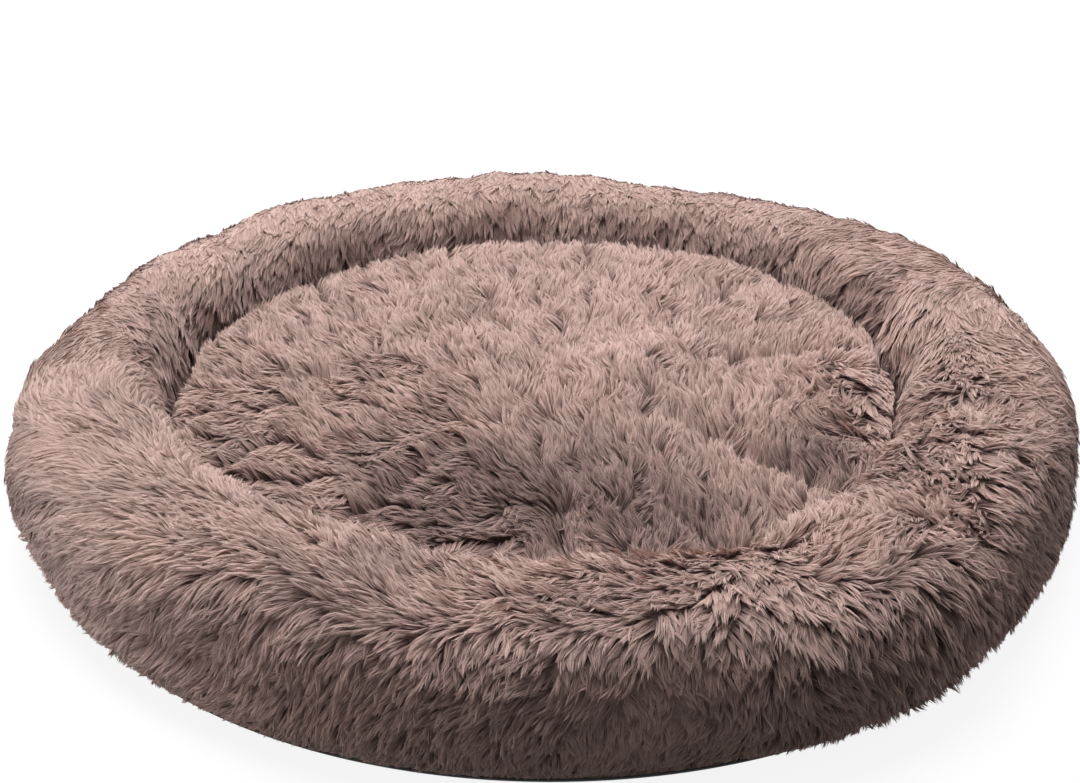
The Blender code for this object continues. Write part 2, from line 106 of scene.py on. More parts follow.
# The pile: blunt locks, each a bundle of strands whose tips draw together
strand_shares = (0, 0.40, 0.76, 1)  # where along a strand its points lie
width_shares = (1, 0.95, 0.72)
strands_in_lock = 8
most_strands = 39000  # in one piece
lock_spacing = 0.0048
row_share = 0.87  # of that spacing, between two rows
place_chance = 0.3  # and how far off its place a lock is rooted
lock_radius = 0.0032
lock_length = 0.030
least_length, length_chance = 0.86, 0.28  # as shares of it
stand_shorter, low_shorter = 0.15, 0.24  # where the pile stands up, and at the foot of the outer wall
strand_width = 0.00110
least_width, width_chance = 0.85, 0.4
root_height = 0.003
lift_power = 0.6  # how soon along a strand its lift goes from the roots' to the tips'
draw_power = 1.3  # and how soon the strands of a lock draw together
tip_draw_share = 0.45
strand_length, edge_shorter, chance_shorter = 1.04, 0.24, 0.10  # as shares of the lock's
least_rise, rise_chance = 0.92, 0.14
curl_width, curl_turn = 0.0022, 2.8
stray_width = 0.0005
edge_roll, lock_roll, strand_roll = 0.9, 0.22, 0.16
backing_height = 0.0045
backing_thickness = 0.0022
backing_rise_share = 0.65
sleek_rise = 0.0095  # how far up the locks are rooted where the pile lies flat

# Past the hems: how far the pile hangs down, and how far out it stands there
zip_overhang, hem_overhang = 0.005, 0.010
zip_flare, hem_flare = zip_stand + 0.006, 0.0150
hem_inset = 0.001
flare_reach = 0.016
flare_height, root_flare_share = 0.010, 0.3

# Places, as a middle or start and a spread in degrees, round the ring and on the section
near_side, far_start = 15, (45, 40)
sleek_start, sleek_end, sleek_fall = (-45, 60), (122, 40), 0.7
front_turn, flat_to_front = (95, 35), 0.7
low_end = (-25, 60)
# wall_end: where the painted shade on the outer wall's tips gives out
wall_end = (26, 42)
brow_turn = (66, 28)
# rim_end: where the painted glow on the far side's outer wall gives out
rim_end = (70, 20)
# crest_turn: where the locks on the crest are coloured lighter, a painted light on the top of the ring
crest_turn = (95, 40)
# lit_place: the front left wall, whose locks are coloured lighter, a painted light; left_place: the left side,
# whose locks are coloured darker, a painted shade
lit_place, left_place = (-52, 28), (-90, 30)
full_end = (20, 50)
mess_turn = (88, 42)
fold_turn = (115, 50)
lump_start = (-35, 40)

# Lumps and folds of the cover
broad_lump, tousled_lump, fine_lump = 0.0020, 0.0032, 0.0011
seat_broad_lump, seat_fine_lump = 0.0020, 0.0010
fold_depth, fold_spread = 0.009, 2.6
seat_fold_depth = 0.011
seat_held_share, seat_held_room = 0.94, 0.05  # the seat's locks lean no further out than this share of its rim

# Tufts of locks
tuft_chance, swing_chance, swing_limit = 0.42, 0.6, 1.2
ring_tuft_spacing, ring_tuft_pull, ring_tuft_swing = 0.021, 0.22, math.radians(22)
seat_tuft_spacing, seat_tuft_pull, seat_tuft_swing = 0.030, 0.30, math.radians(34)
tuft_lift = math.radians(26)  # how much steeper the locks on the leading side of a tuft stand
flat_calm, brow_calm, forward_calm = 0.7, 0.8, 0.6  # how much less so there

# Lifts of the locks in degrees: plain, then the steps where the pile lies flat, where it stands up and at the
# foot of the outer wall, then the spread by chance and its step where the pile lies flat
ring_root_lifts, ring_tip_lifts = (54, -37, 16, 0, 5, -2), (10, -8, 26, 9, 6, -3)
seat_root_lifts, seat_tip_lifts = (58, -36, 12, 0, 5, 0), (20, -17, 24, 0, 6, 0)
brow_flat = 0.6  # how much flatter the roots lie over the brow of the far side
brow_drop = math.radians(5)  # and the tips

# Colours of the locks: the tone, how far up the colours the roots start, and how far short of the palest the
# tips end. Along each strand the colours run from dark roots to light tips, a painted shade deep in the pile,
# and the places where the roots start and the tips end paint more light and shade.
# In the tone, crest and lit are painted light, lighter locks on the crest and on the front left wall, and left
# is painted shade, darker locks on the left side
ring_tones = SimpleNamespace(
    plain=0.5, crest=0.08, low=0.08, lit=0.20, left=-0.12, cloud=0.09, lock=0.05, low_lock=0.06
)
seat_tones = SimpleNamespace(plain=0.56, cloud=0.09, swing=0.04, lock=0.05)
# In pale, flat pales the roots where the pile lies flat, less painted shade; low darkens them at the foot of
# the outer wall, painted shade; rim pales them on the far side's outer wall, a painted glow of light from
# behind; lit pales them on the front left wall, painted light
ring_pale = SimpleNamespace(flat=0.28, low=-0.10, rim=0.35, lit=0.42)
# On the seat the roots are darkened under its darker painted spots, a painted shade, and paled where the pile
# leans forwards, less painted shade
seat_pale = SimpleNamespace(plain=0.06, forward=0.22, painted_shading=1.6)
# Painted shade at the tips: wall_cut dulls them on the outer wall, lit_cut_share of that is taken off where
# painted light falls on the front left wall, and flat_cut dulls them where the pile lies flat, less painted
# light
wall_cut, lit_cut_share, flat_cut = 0.33, 0.9, 0.14
# The tips are dulled too under the seat's darker spots, a painted shade
seat_cut, seat_painted_shade_cut = 0.05, 0.3
strand_tone, tone_limits = 0.15, (0.03, 0.95)
tone_across = 0.016  # the step of tone from one edge of a strand to the other
map_low, map_high = 0.02, 0.98

# How the flow wanders from the combed one
full_comb, least_comb = 0.8, 0.3  # a step at which the pile lies down, and the shortest that counts
parting_wander = math.radians(9)
wander_share, mess_share = 0.20, 0.8
comb_calm, flow_calm = 0.5, 0.35
twist, loose_twist = math.radians(10), math.radians(24)
mess_swing = 1.5
loose_stand, mess_stand = 0.35, 0.22
seat_comb_reach, seat_comb_floor, seat_wander_share = 1.3, 0.02, 0.26
seat_twist = math.radians(8)
seat_stand = 0.4
seat_margin = 0.004
seat_rim_start, seat_rim_shorter = 0.85, 0.25
forward_rise = 0.007

# How the pile is combed: place round the ring in degrees, then the step along the ring and up the section
# on the outer wall, on the crest and on the inner wall. A short step leaves the pile standing.
ring_combs = (
    (-180, (-0.2, -1.0), (0.0, 1.0), (0.0, 1.0)),
    (-150, (-0.2, -1.0), (0.35, 0.95), (0.3, 1.0)),
    (-125, (-0.2, -1.0), (0.65, 0.75), (0.6, 0.8)),
    (-108, (-0.4, -0.9), (0.70, 0.70), (0.6, 0.8)),
    (-97, (-0.5, -0.9), (0.2, 0.8), (0.4, 0.9)),
    (-88, (-0.55, -0.85), (-0.7, 0.45), (0.1, 1.0)),
    (-79, (-0.6, -0.85), (-0.9, -0.35), (-0.1, 1.0)),
    (-68, (-0.65, -0.8), (-0.7, -0.7), (-0.3, 0.9)),
    (-47, (-0.75, -0.8), (-1.0, -0.3), (-0.7, 0.6)),
    (-30, (-0.7, -0.9), (-1.0, -0.15), (-0.8, 0.5)),
    (-5, (-0.45, -1.0), (-1.0, 0.0), (-0.7, 0.7)),
    (8, (-0.2, -1.0), (-0.9, -0.2), (-0.7, 0.6)),
    (20, (-0.1, -1.0), (-0.1, -0.9), (-0.4, 0.8)),
    (34, (0.1, -1.0), (0.7, -0.4), (0.1, 0.9)),
    (48, (0.2, -1.0), (-0.2, 0.6), (-0.3, 1.0)),
    (58, (0.2, -1.0), (-0.7, 0.3), (-0.4, 0.9)),
    (68, (0.1, -1.0), (0.2, -0.6), (-0.4, 0.9)),
    (78, (-0.1, -1.0), (0.3, -0.8), (-0.3, 0.9)),
    (91, (-0.4, -0.9), (-0.6, -0.6), (-0.5, 0.8)),
    (100, (-0.5, -0.85), (-0.95, -0.1), (-0.6, 0.8)),
    (108, (-0.5, -0.85), (-0.6, 0.75), (-0.4, 0.9)),
    (117, (-0.4, -0.9), (0.2, 0.95), (-0.1, 1.0)),
    (128, (-0.3, -0.95), (0.3, 0.95), (0.1, 1.0)),
    (140, (-0.2, -1.0), (0.05, 1.0), (0.0, 1.0)),
    (160, (-0.2, -1.0), (-0.15, 1.0), (-0.1, 1.0)),
)
back_parting, back_parting_drop = (62, 30), math.radians(60)
crest_start, crest_end = (42, 34), (76, 88)
# Tousled places: place in degrees, share, spread in degrees
mess_places = ((45, 0.35, 18), (75, 0.45, 22), (14, 0.2, 12))
# Where the outer wall's pile stands out more or less: place in degrees, share, spread in degrees
fullness_places = ((36, 0.85, 11), (12, -0.50, 12), (67, -0.30, 12), (-45, 0.06, 14), (24, 0.40, 7))
# On the seat: x, y, heading in degrees, spread
seat_combs = (
    (0.10, -0.01, 98, 0.08), (0.20, -0.07, 89, 0.07), (0.14, -0.17, 90, 0.06),
    (0.10, -0.22, 93, 0.05), (0.04, -0.14, 111, 0.05), (-0.01, -0.15, 143, 0.05),
    (-0.03, -0.22, 235, 0.04), (-0.12, -0.21, 209, 0.06), (-0.15, -0.26, 199, 0.05),
    (0.04, -0.25, 110, 0.05), (0.18, -0.25, 97, 0.05), (0.24, -0.11, 80, 0.05),
    (0.29, -0.08, 240, 0.03), (0.31, 0.03, 235, 0.05), (0.38, 0.02, 300, 0.04),
    (0.26, 0.01, 75, 0.04), (-0.16, -0.12, 190, 0.07), (-0.24, -0.03, 200, 0.08),
    (-0.37, 0.16, 111, 0.08), (-0.38, 0.00, 202, 0.05), (-0.20, 0.14, 140, 0.12),
    (0.00, 0.15, 95, 0.12), (0.20, 0.18, 60, 0.12), (0.00, 0.32, 90, 0.10),
)
# Painted light and shade on the seat, spots where its locks are coloured darker or lighter: x, y, step of tone,
# spread
seat_painted_shading = (
    (0.03, -0.23, -0.40, 0.10), (-0.11, -0.20, -0.28, 0.08), (0.14, -0.26, -0.35, 0.06),
    (0.27, -0.13, -0.35, 0.05), (0.33, 0.05, 0.12, 0.06), (0.06, 0.00, 0.06, 0.12),
)
# Puffs of the seat's pile and filling: x, y, height, spread
seat_puffs = (
    (0.08, -0.02, 0.011, 0.11), (0.335, 0.050, 0.014, 0.060), (-0.08, -0.15, 0.007, 0.06),
)


def smooth(share):
    share = np.clip(share, 0, 1)
    return share * share * (3 - 2 * share)


def waves(table, angle):
    return sum(share * np.cos(count * (angle - math.radians(place))) for count, share, place in table)


def bump(distance, spread):
    return np.exp(-((distance / spread) ** 2))


def apart(angle, place):
    """The angle between an angle and a place in degrees, from minus to plus half a turn."""
    return (angle - math.radians(place) + math.pi) % (2 * math.pi) - math.pi


def beside(angle, place, spread):
    """1 at a place round the ring and less away from it, both in degrees."""
    return bump(apart(angle, place), math.radians(spread))


def near(turn, middle, spread):
    """The same for a turn on the section."""
    return bump(turn - math.radians(middle), math.radians(spread))


def risen(turn, start, spread):
    """From 0 to 1 as a turn goes on from start by spread, both in degrees."""
    return smooth((turn - math.radians(start)) / math.radians(spread))


def gathers(angle, spread):
    """The depth of the gathers at an angle, as a share, where each is this many degrees wide."""
    return sum(share * beside(angle, place, spread) for place, share in zip(gather_places, gather_depth_shares))


def unit_section(turn):
    """Steps across and up on a section of half width and height 1, squarer than round."""
    across, up = np.cos(turn), np.sin(turn)
    power = np.where(up >= 0, 2 / top_squareness, 2 / foot_squareness)
    return np.sign(across) * np.abs(across) ** power, np.sign(up) * np.abs(up) ** power


def section(turn, grow=0.0):
    """Radius and height on the bolster's section, as in the construction."""
    across, up = unit_section(turn)
    reach = np.where(up >= 0, body_rise + grow, body_drop)
    return middle_radius + (body_half_width + grow) * across, body_middle + reach * up


def inward(turn):
    return risen(turn, *inner_start)


def nest(angle):
    return overall_radius * (nest_share + waves(nest_swells, angle))


def shift(angle, turn, height):
    lift = smooth((height - still_height) / (inner_hem_height - still_height))
    side = 1 + (inner_swell_share - 1) * inward(turn)
    swell = overall_radius * waves(outline_swells, angle) * side
    inner_part = ((1 - unit_section(turn)[0]) / 2) ** 2
    tuck = gather_tuck * gathers(angle, gather_spread) * inward(turn)
    return nest(angle) * inner_part + lift * (swell + tuck)


def crest_shift(angle, turn):
    rise = overall_height * waves(crest_swells, angle) - gather_drop * gathers(angle, gather_spread)
    return smooth(np.sin(turn)) * rise


def around(radius, angle, height):
    radius, angle, height = np.broadcast_arrays(radius, angle, height)
    return np.stack([radius * np.sin(angle), -radius * np.cos(angle), height], axis=-1)


def foot_turn(height):
    """The turn at which the filled section's outer side is this high above the floor."""
    return -math.asin(((body_middle - height) / body_drop) ** (foot_squareness / 2))


# The ring's own measure: an angle, and an arc that runs up the section from underneath
all_turns = np.linspace(math.radians(-89), math.radians(269), 1500)
arc_radius, arc_height = section(all_turns, pile / 2)
all_arcs = np.concatenate([[0], np.cumsum(np.hypot(np.diff(arc_radius), np.diff(arc_height)))])


def turn_of(arc):
    return np.interp(arc, all_arcs, all_turns)


def arc_of(turn):
    return float(np.interp(turn, all_turns, all_arcs))


field_waves = 20


def wave_field(rates, ups, phases):
    """A smooth field over two coordinates, mostly between -1.5 and 1.5. rates is in radians along the first,
    and ups in whole waves along the second."""

    def field(across, above):
        total = 0
        for rate, up, phase in zip(rates, ups, phases):
            total = total + np.cos(rate * across + 2 * math.pi * (up * above + phase))
        return total / math.sqrt(len(phases) / 2)

    return field


def ring_field(seed, rounds, rate):
    """A random one round the ring. rounds is the most waves round it, and rate the typical waves in a metre up
    the section."""
    dice = np.random.default_rng(seed)
    turns, ups = dice.integers(-rounds, rounds + 1, field_waves), dice.normal(0, rate, field_waves)
    return wave_field(turns, ups, dice.random(field_waves))


def flat_field(seed, rate):
    """A random one over x and y. rate is the typical waves in a metre."""
    dice = np.random.default_rng(seed)
    across, up = dice.normal(0, rate, field_waves), dice.normal(0, rate, field_waves)
    return wave_field(2 * math.pi * across, up, dice.random(field_waves))


broad_lumps, fine_lumps = ring_field(11, 16, 5), ring_field(12, 60, 16)
wander_along, wander_up = ring_field(21, 22, 7), ring_field(22, 22, 7)
ring_tone = ring_field(31, 30, 9)
seat_broad, seat_fine = flat_field(41, 5), flat_field(42, 15)
seat_wander_x, seat_wander_y = flat_field(51, 9), flat_field(52, 9)
seat_tone = flat_field(61, 8)


def ring_scale(angle, arc):
    """The metres in one step of the angle."""
    return section(turn_of(arc), pile / 2)[0]


def ring_spot(angle, arc, height):
    """Points on the bolster. height is how far out from the stuffed form they lie."""
    turn = turn_of(arc)
    broad = broad_lump + tousled_lump * tousled(angle, turn)
    lumps = broad * broad_lumps(angle, arc) + fine_lump * fine_lumps(angle, arc)
    height = height + risen(turn, *lump_start) * lumps
    height = height - fold_depth * gathers(angle, fold_spread) * near(turn, *fold_turn)
    radius, level = section(turn, height)
    return around(radius + shift(angle, turn, level), angle, level + crest_shift(angle, turn))


def tousled(angle, turn):
    """How tousled the pile is at a place, over the crest at the right."""
    mess = sum(amount * beside(angle, place, spread) for place, amount, spread in mess_places)
    return mess * near(turn, *mess_turn)


def far_side(angle):
    """From 0 at the front to 1 on the far side of the ring."""
    return risen(np.abs(apart(angle, near_side)), *far_start)


def sleek(angle, turn):
    """Where the pile lies flat and dense, over the crest on the far side of the ring: from 0 to 1."""
    return far_side(angle) * risen(turn, *sleek_start) * (1 - sleek_fall * risen(turn, *sleek_end))


def flatness(angle, arc):
    """How flat the pile lies: on the far side of the ring, and on the crest where it is combed to the front."""
    turn = turn_of(arc)
    along, up, _ = ring_combing(angle, arc)
    least = 0.4
    to_front = -(along * np.sin(angle) + up * np.cos(angle)) / np.maximum(np.hypot(along, up), least)
    return np.maximum(sleek(angle, turn), flat_to_front * np.clip(to_front, 0, 1) * near(turn, *front_turn))


def seat_rim(angle):
    return middle_radius - body_half_width - pile + shift(angle, math.pi, body_middle)


def seat_top(x, y, angle, share):
    free = np.clip(1 - share**4, 0, 1)
    crown = seat_crown * np.clip(1 - share**2, 0, 1) ** seat_crown_power
    height = seat_rim_height + seat_tilt_share * y + crown
    for lobe_x, lobe_y, spread, height_share in lobe_places:
        across = np.hypot(x - lobe_x * overall_radius, y - lobe_y * overall_radius)
        height = height + lobe_height * height_share * free * bump(across, spread * overall_radius)
    for place, depth_share in zip(crease_places, crease_depth_shares):
        aside = np.hypot(x, y) * np.sin(angle - math.radians(place))
        ahead = np.cos(angle - math.radians(place)) > 0
        reach = smooth((share - crease_start_share) / crease_rise_share) * np.clip(1 - share**6, 0, 1)
        depth = crease_depth * bump(aside, crease_width) + seat_fold_depth * bump(aside, crease_width / 2)
        height = height - ahead * depth_share * reach * depth
    for puff_x, puff_y, rise, spread in seat_puffs:
        height = height + rise * free * bump(np.hypot(x - puff_x, y - puff_y), spread)
    return height


def seat_spot(x, y, height):
    """Points on the seat. height is how far up from the seat cover's backing they lie."""
    angle = np.arctan2(x, -y)
    share = np.hypot(x, y) / (seat_rim(angle) - clearance)
    past = share - seat_held_share
    held = np.where(past > 0, seat_held_share + seat_held_room * np.tanh(past / seat_held_room), share)
    held = held / np.maximum(share, 1e-9)
    x, y, share = x * held, y * held, share * held
    lumps = seat_broad_lump * seat_broad(x, y) + seat_fine_lump * seat_fine(x, y)
    level = seat_top(x, y, angle, share) - pile + height + lumps * (1 - share**4)
    return np.stack([x, y, level], axis=-1)


# Finishes


def node_finish(name, roughness, metallic=0.0, sheen=0.0):
    """A material, its shader, places on the object, and a way to add nodes and links to it."""
    made = bpy.data.materials.new(name)
    made.use_nodes = True
    tree = made.node_tree
    shader = tree.nodes["Principled BSDF"]
    shader.inputs["Roughness"].default_value = roughness
    shader.inputs["Metallic"].default_value = metallic
    shader.inputs["Sheen Weight"].default_value = sheen
    place = tree.nodes.new("ShaderNodeTexCoord").outputs["Object"]
    return SimpleNamespace(made=made, shader=shader, place=place, add=tree.nodes.new, link=tree.links.new)


def ramp(finish, source, stops):
    """Colours along a value. stops are places and linear colours."""
    node = finish.add("ShaderNodeValToRGB")
    while len(node.color_ramp.elements) < len(stops):
        node.color_ramp.elements.new(0.5)
    for element, (place, colour) in zip(node.color_ramp.elements, stops):
        element.position = place
        element.color = (*colour, 1)
    finish.link(source, node.inputs["Fac"])
    return node.outputs["Color"]


def multiplied(finish, first, second):
    """Two colours multiplied."""
    node = finish.add("ShaderNodeMix")
    node.data_type = "RGBA"
    node.blend_type = "MULTIPLY"
    node.inputs["Factor"].default_value = 1
    finish.link(first, node.inputs["A"])
    finish.link(second, node.inputs["B"])
    return node.outputs["Result"]


def reckoned(finish, operation, *values):
    """A sum on values, each a number or a socket."""
    node = finish.add("ShaderNodeMath")
    node.operation = operation
    for value, socket in zip(values, node.inputs):
        if isinstance(value, float):
            socket.default_value = value
        else:
            finish.link(value, socket)
    return node.outputs[0]


def cloudy(finish, scale, detail=4.0, roughness=0.6):
    node = finish.add("ShaderNodeTexNoise")
    node.inputs["Scale"].default_value = scale
    node.inputs["Detail"].default_value = detail
    node.inputs["Roughness"].default_value = roughness
    finish.link(finish.place, node.inputs["Vector"])
    return node.outputs["Fac"]


def bumped(finish, source, distance, strength=1.0):
    node = finish.add("ShaderNodeBump")
    node.inputs["Distance"].default_value = distance
    node.inputs["Strength"].default_value = strength
    finish.link(source, node.inputs["Height"])
    finish.link(node.outputs["Normal"], finish.shader.inputs["Normal"])


def pile_finish():
    """Strands: dark roots and light tips, a painted shade deep in the pile, each strand of its own tone. The
    map named OFBake holds the tone across, and the place from the roots' colour to the tips' upwards."""
    finish = node_finish("shag_pile", 0.62, sheen=0.35)
    finish.shader.inputs["Sheen Roughness"].default_value = 0.45
    finish.shader.inputs["Sheen Tint"].default_value = (0.95, 0.80, 0.76, 1)
    finish.shader.inputs["Specular IOR Level"].default_value = 0.25
    place = finish.add("ShaderNodeUVMap")
    place.uv_map = "OFBake"
    split = finish.add("ShaderNodeSeparateXYZ")
    finish.link(place.outputs["UV"], split.inputs["Vector"])
    # The colours along a strand: darker roots, a painted shade deep in the pile, and light tips
    along = ramp(finish, split.outputs["Y"], [
        (0, (0.200, 0.122, 0.106)),
        (0.30, (0.350, 0.232, 0.204)),
        (0.65, (0.580, 0.402, 0.354)),
        (1.0, (0.820, 0.620, 0.562)),
    ])
    tone = ramp(finish, split.outputs["X"], [
        (0.0, (0.58, 0.57, 0.57)),
        (0.5, (0.94, 0.93, 0.93)),
        (1.0, (1.20, 1.18, 1.17)),
    ])
    finish.link(multiplied(finish, along, tone), finish.shader.inputs["Base Color"])
    return finish.made


def woven_finish(name, dark, light, threads_per_metre):
    """Plain woven cloth: two sets of threads that cross, with slubs."""
    roughness, sheen, threads_in_wave = 0.85, 0.15, 6.4
    slub_scale, slub_share = 90, 0.7
    relief, relief_strength = 0.0004, 0.6
    finish = node_finish(name, roughness, sheen=sheen)
    threads = []
    for direction in ("X", "Y"):
        wave = finish.add("ShaderNodeTexWave")
        wave.bands_direction = direction
        wave.inputs["Scale"].default_value = threads_per_metre / threads_in_wave
        wave.inputs["Distortion"].default_value = 0.6
        wave.inputs["Detail"].default_value = 1
        finish.link(finish.place, wave.inputs["Vector"])
        threads.append(wave.outputs["Fac"])
    crossed = reckoned(finish, "MULTIPLY", *threads)
    mixed = reckoned(finish, "MULTIPLY_ADD", cloudy(finish, slub_scale), slub_share, crossed)
    colour = ramp(finish, mixed, ((0.25, dark), (0.95, light)))
    finish.link(colour, finish.shader.inputs["Base Color"])
    bumped(finish, crossed, relief, relief_strength)
    return finish.made


def mottled_finish(name, roughness, cloud, stops, relief=None, strength=1.0, **more):
    """Clouds of colour. cloud is their scale, detail and roughness, stops as in ramp, and relief the height of
    bumps, which have the clouds' own form."""
    finish = node_finish(name, roughness, **more)
    clouds = cloudy(finish, *cloud)
    finish.link(ramp(finish, clouds, stops), finish.shader.inputs["Base Color"])
    if relief:
        bumped(finish, clouds, relief, strength)
    return finish.made


def backing_finish():
    """The dense short pile next to the backing cloth, seen only between the locks."""
    finish = node_finish("shag_backing", 0.9)
    stops = ((0.3, (0.210, 0.132, 0.115)), (0.7, (0.370, 0.252, 0.222)))
    finish.link(ramp(finish, cloudy(finish, 160), stops), finish.shader.inputs["Base Color"])
    bumped(finish, cloudy(finish, 320), 0.002)
    return finish.made


# Pieces


def added(name, data):
    """An object of the scene with this data."""
    made = bpy.data.objects.new(name, data)
    bpy.context.scene.collection.objects.link(made)
    return made


def piece_of(name, mesh, finish, node=None):
    """An object of this mesh that rides on the cushion and may replace a node."""
    mesh.name = name
    mesh.materials.append(finish)
    mesh.polygons.foreach_set("use_smooth", np.ones(len(mesh.polygons), bool))
    piece = added(name, mesh)
    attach(piece, "cushion")
    if node:
        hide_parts(node)
    return piece


def mesh_from(points, corners, sizes, uv=None):
    """A mesh from arrays: points, the corners of all the faces one after another, and each face's count."""
    mesh = bpy.data.meshes.new("mesh")
    mesh.vertices.add(len(points))
    mesh.vertices.foreach_set("co", points.astype(np.float32).ravel())
    mesh.loops.add(len(corners))
    mesh.loops.foreach_set("vertex_index", corners.astype(np.int32))
    mesh.polygons.add(len(sizes))
    starts = np.concatenate([[0], np.cumsum(sizes)[:-1]])
    mesh.polygons.foreach_set("loop_start", starts.astype(np.int32))
    if uv is not None:
        layer = mesh.uv_layers.new(name="OFBake")
        layer.data.foreach_set("uv", uv.astype(np.float32).ravel())
    mesh.update(calc_edges=True)
    return mesh


def shell(outer, inner, closed):
    """A closed mesh between two grids of points that match. The first axis runs round, and closed joins it."""
    rounds, rows = outer.shape[:2]
    index = np.arange(2 * rounds * rows).reshape(2, rounds, rows)
    last = rounds if closed else rounds - 1
    over, under = index[:, :last]
    over_next, under_next = np.roll(index, -1, axis=1)[:, :last]
    sides = [
        (over[:, :-1], over_next[:, :-1], over_next[:, 1:], over[:, 1:]),
        (under[:, 1:], under_next[:, 1:], under_next[:, :-1], under[:, :-1]),
        (under[:, 0], under_next[:, 0], over_next[:, 0], over[:, 0]),
        (over[:, -1], over_next[:, -1], under_next[:, -1], under[:, -1]),
    ]
    if not closed:
        start, end = index[:, 0], index[:, -1]
        sides.append((start[0, :-1], start[0, 1:], start[1, 1:], start[1, :-1]))
        sides.append((end[1, :-1], end[1, 1:], end[0, 1:], end[0, :-1]))
    faces = np.concatenate([np.stack(corners, axis=-1).reshape(-1, 4) for corners in sides])
    points = np.concatenate([outer.reshape(-1, 3), inner.reshape(-1, 3)])
    return mesh_from(points, faces.ravel(), np.full(len(faces), 4))


def tidied(mesh):
    """The mesh with points that lie together merged and its faces turned outwards."""
    form = bmesh.new()
    form.from_mesh(mesh)
    bmesh.ops.remove_doubles(form, verts=form.verts, dist=clearance / 100)
    bmesh.ops.recalc_face_normals(form, faces=form.faces)
    form.to_mesh(mesh)
    form.free()
    return mesh


# The pile


def unit(vectors):
    return vectors / np.maximum(np.linalg.norm(vectors, axis=-1, keepdims=True), 1e-9)


def strands(place, scale, locks, dice):
    """The strands of these locks: points, tones, and the locks' pale and cut for each. place gives a point from
    the two coordinates of the surface and a height, and scale the metres in one step of the first."""
    count = len(locks.u)
    pick = np.repeat(np.arange(count), strands_in_lock)
    total = len(pick)
    share = np.array(strand_shares)
    middle = (share[1:] + share[:-1]) / 2
    lift = locks.lift_start[:, None] + (locks.lift_end - locks.lift_start)[:, None] * middle**lift_power
    step = locks.length[:, None] * np.diff(share)
    steps = step * np.cos(lift), step * np.sin(lift)
    ahead, out = [np.pad(np.cumsum(part, axis=1), ((0, 0), (1, 0))) for part in steps]
    reach = np.sqrt(dice.random(total))
    turned = dice.random(total) * 2 * math.pi
    keep = lock_radius * (1 - tip_draw_share * share**draw_power)
    long_share = strand_length - edge_shorter * reach**2 - chance_shorter * dice.random(total)
    rise_share = long_share * (least_rise + rise_chance * dice.random(total))
    out = out[pick] * rise_share[:, None] + locks.foot[pick][:, None]
    phase = (dice.random(count) * 2 * math.pi)[pick][:, None]
    aside = curl_width * share * np.sin(curl_turn * share + phase)
    aside = aside + dice.normal(0, stray_width, total)[:, None] * share
    from_middle = reach * np.sin(turned)
    aside = aside + from_middle[:, None] * keep
    ahead = ahead[pick] * long_share[:, None] + (reach * np.cos(turned))[:, None] * keep
    along, up = locks.along[pick][:, None], locks.up[pick][:, None]
    u = locks.u[pick][:, None] + (ahead * along - aside * up) / scale(locks.u, locks.v)[pick][:, None]
    v = locks.v[pick][:, None] + ahead * up + aside * along
    u, v, out = locks.held(u, v, out)
    line = place(u, v, out)
    outward = unit(place(u, v, out + 0.001) - line)
    tangent = unit(np.gradient(line, axis=1))
    side = unit(np.cross(tangent, outward))
    roll = edge_roll * from_middle + dice.normal(0, lock_roll, count)[pick] + dice.normal(0, strand_roll, total)
    roll = roll[:, None, None]
    side = side * np.cos(roll) + np.cross(side, tangent) * np.sin(roll)
    wide = strand_width * (least_width + width_chance * dice.random(total))[:, None] * np.array(width_shares)
    half = side[:, :-1] * wide[:, :, None] / 2
    pairs = np.stack([line[:, :-1] - half, line[:, :-1] + half], axis=2).reshape(total, -1, 3)
    points = np.concatenate([pairs, line[:, -1:]], axis=1)
    tone = np.clip(locks.tone[pick] + dice.normal(0, strand_tone, total), *tone_limits)
    return points, tone, locks.pale[pick], locks.cut[pick]


def strand_mesh(points, tone, pale, cut):
    """A mesh of strands: a strip of quads that ends in a triangle for each."""
    total, each = points.shape[:2]
    quads = len(strand_shares) - 2
    low = 2 * np.arange(quads)
    strip = np.stack([low, low + 1, low + 3, low + 2], axis=1).ravel()
    corners = np.concatenate([strip, [each - 3, each - 2, each - 1]])
    sizes = np.array([4] * quads + [3])
    sideways = np.where(np.arange(each) % 2 == 0, -0.5, 0.5)
    sideways[-1] = 0
    at = np.append(np.repeat(strand_shares[:-1], 2), 1)
    u = tone[:, None] + tone_across * sideways
    # The roots start pale of the way up the colours and the tips end cut short of the palest: painted light and
    # shade by place
    v = map_high - cut[:, None] - ((map_high - map_low) * (1 - pale) - cut)[:, None] * (1 - at)
    uv = np.stack([u, v], axis=-1)[:, corners].reshape(-1, 2)
    corners = (each * np.arange(total)[:, None] + corners).ravel()
    return mesh_from(points.reshape(-1, 3), corners, np.tile(sizes, total), uv)


def pile_pieces(name, place, scale, locks, finish, seed, node):
    """The strands of these locks, in as many pieces as their number needs."""
    made = strands(place, scale, locks, np.random.default_rng(seed))
    total = len(made[0])
    parts = math.ceil(total / most_strands)
    for number, part in enumerate(np.array_split(np.arange(total), parts), start=1):
        title = f"{name}_pile_{number}" if parts > 1 else f"{name}_pile"
        piece_of(title, strand_mesh(*[values[part] for values in made]), finish, node)


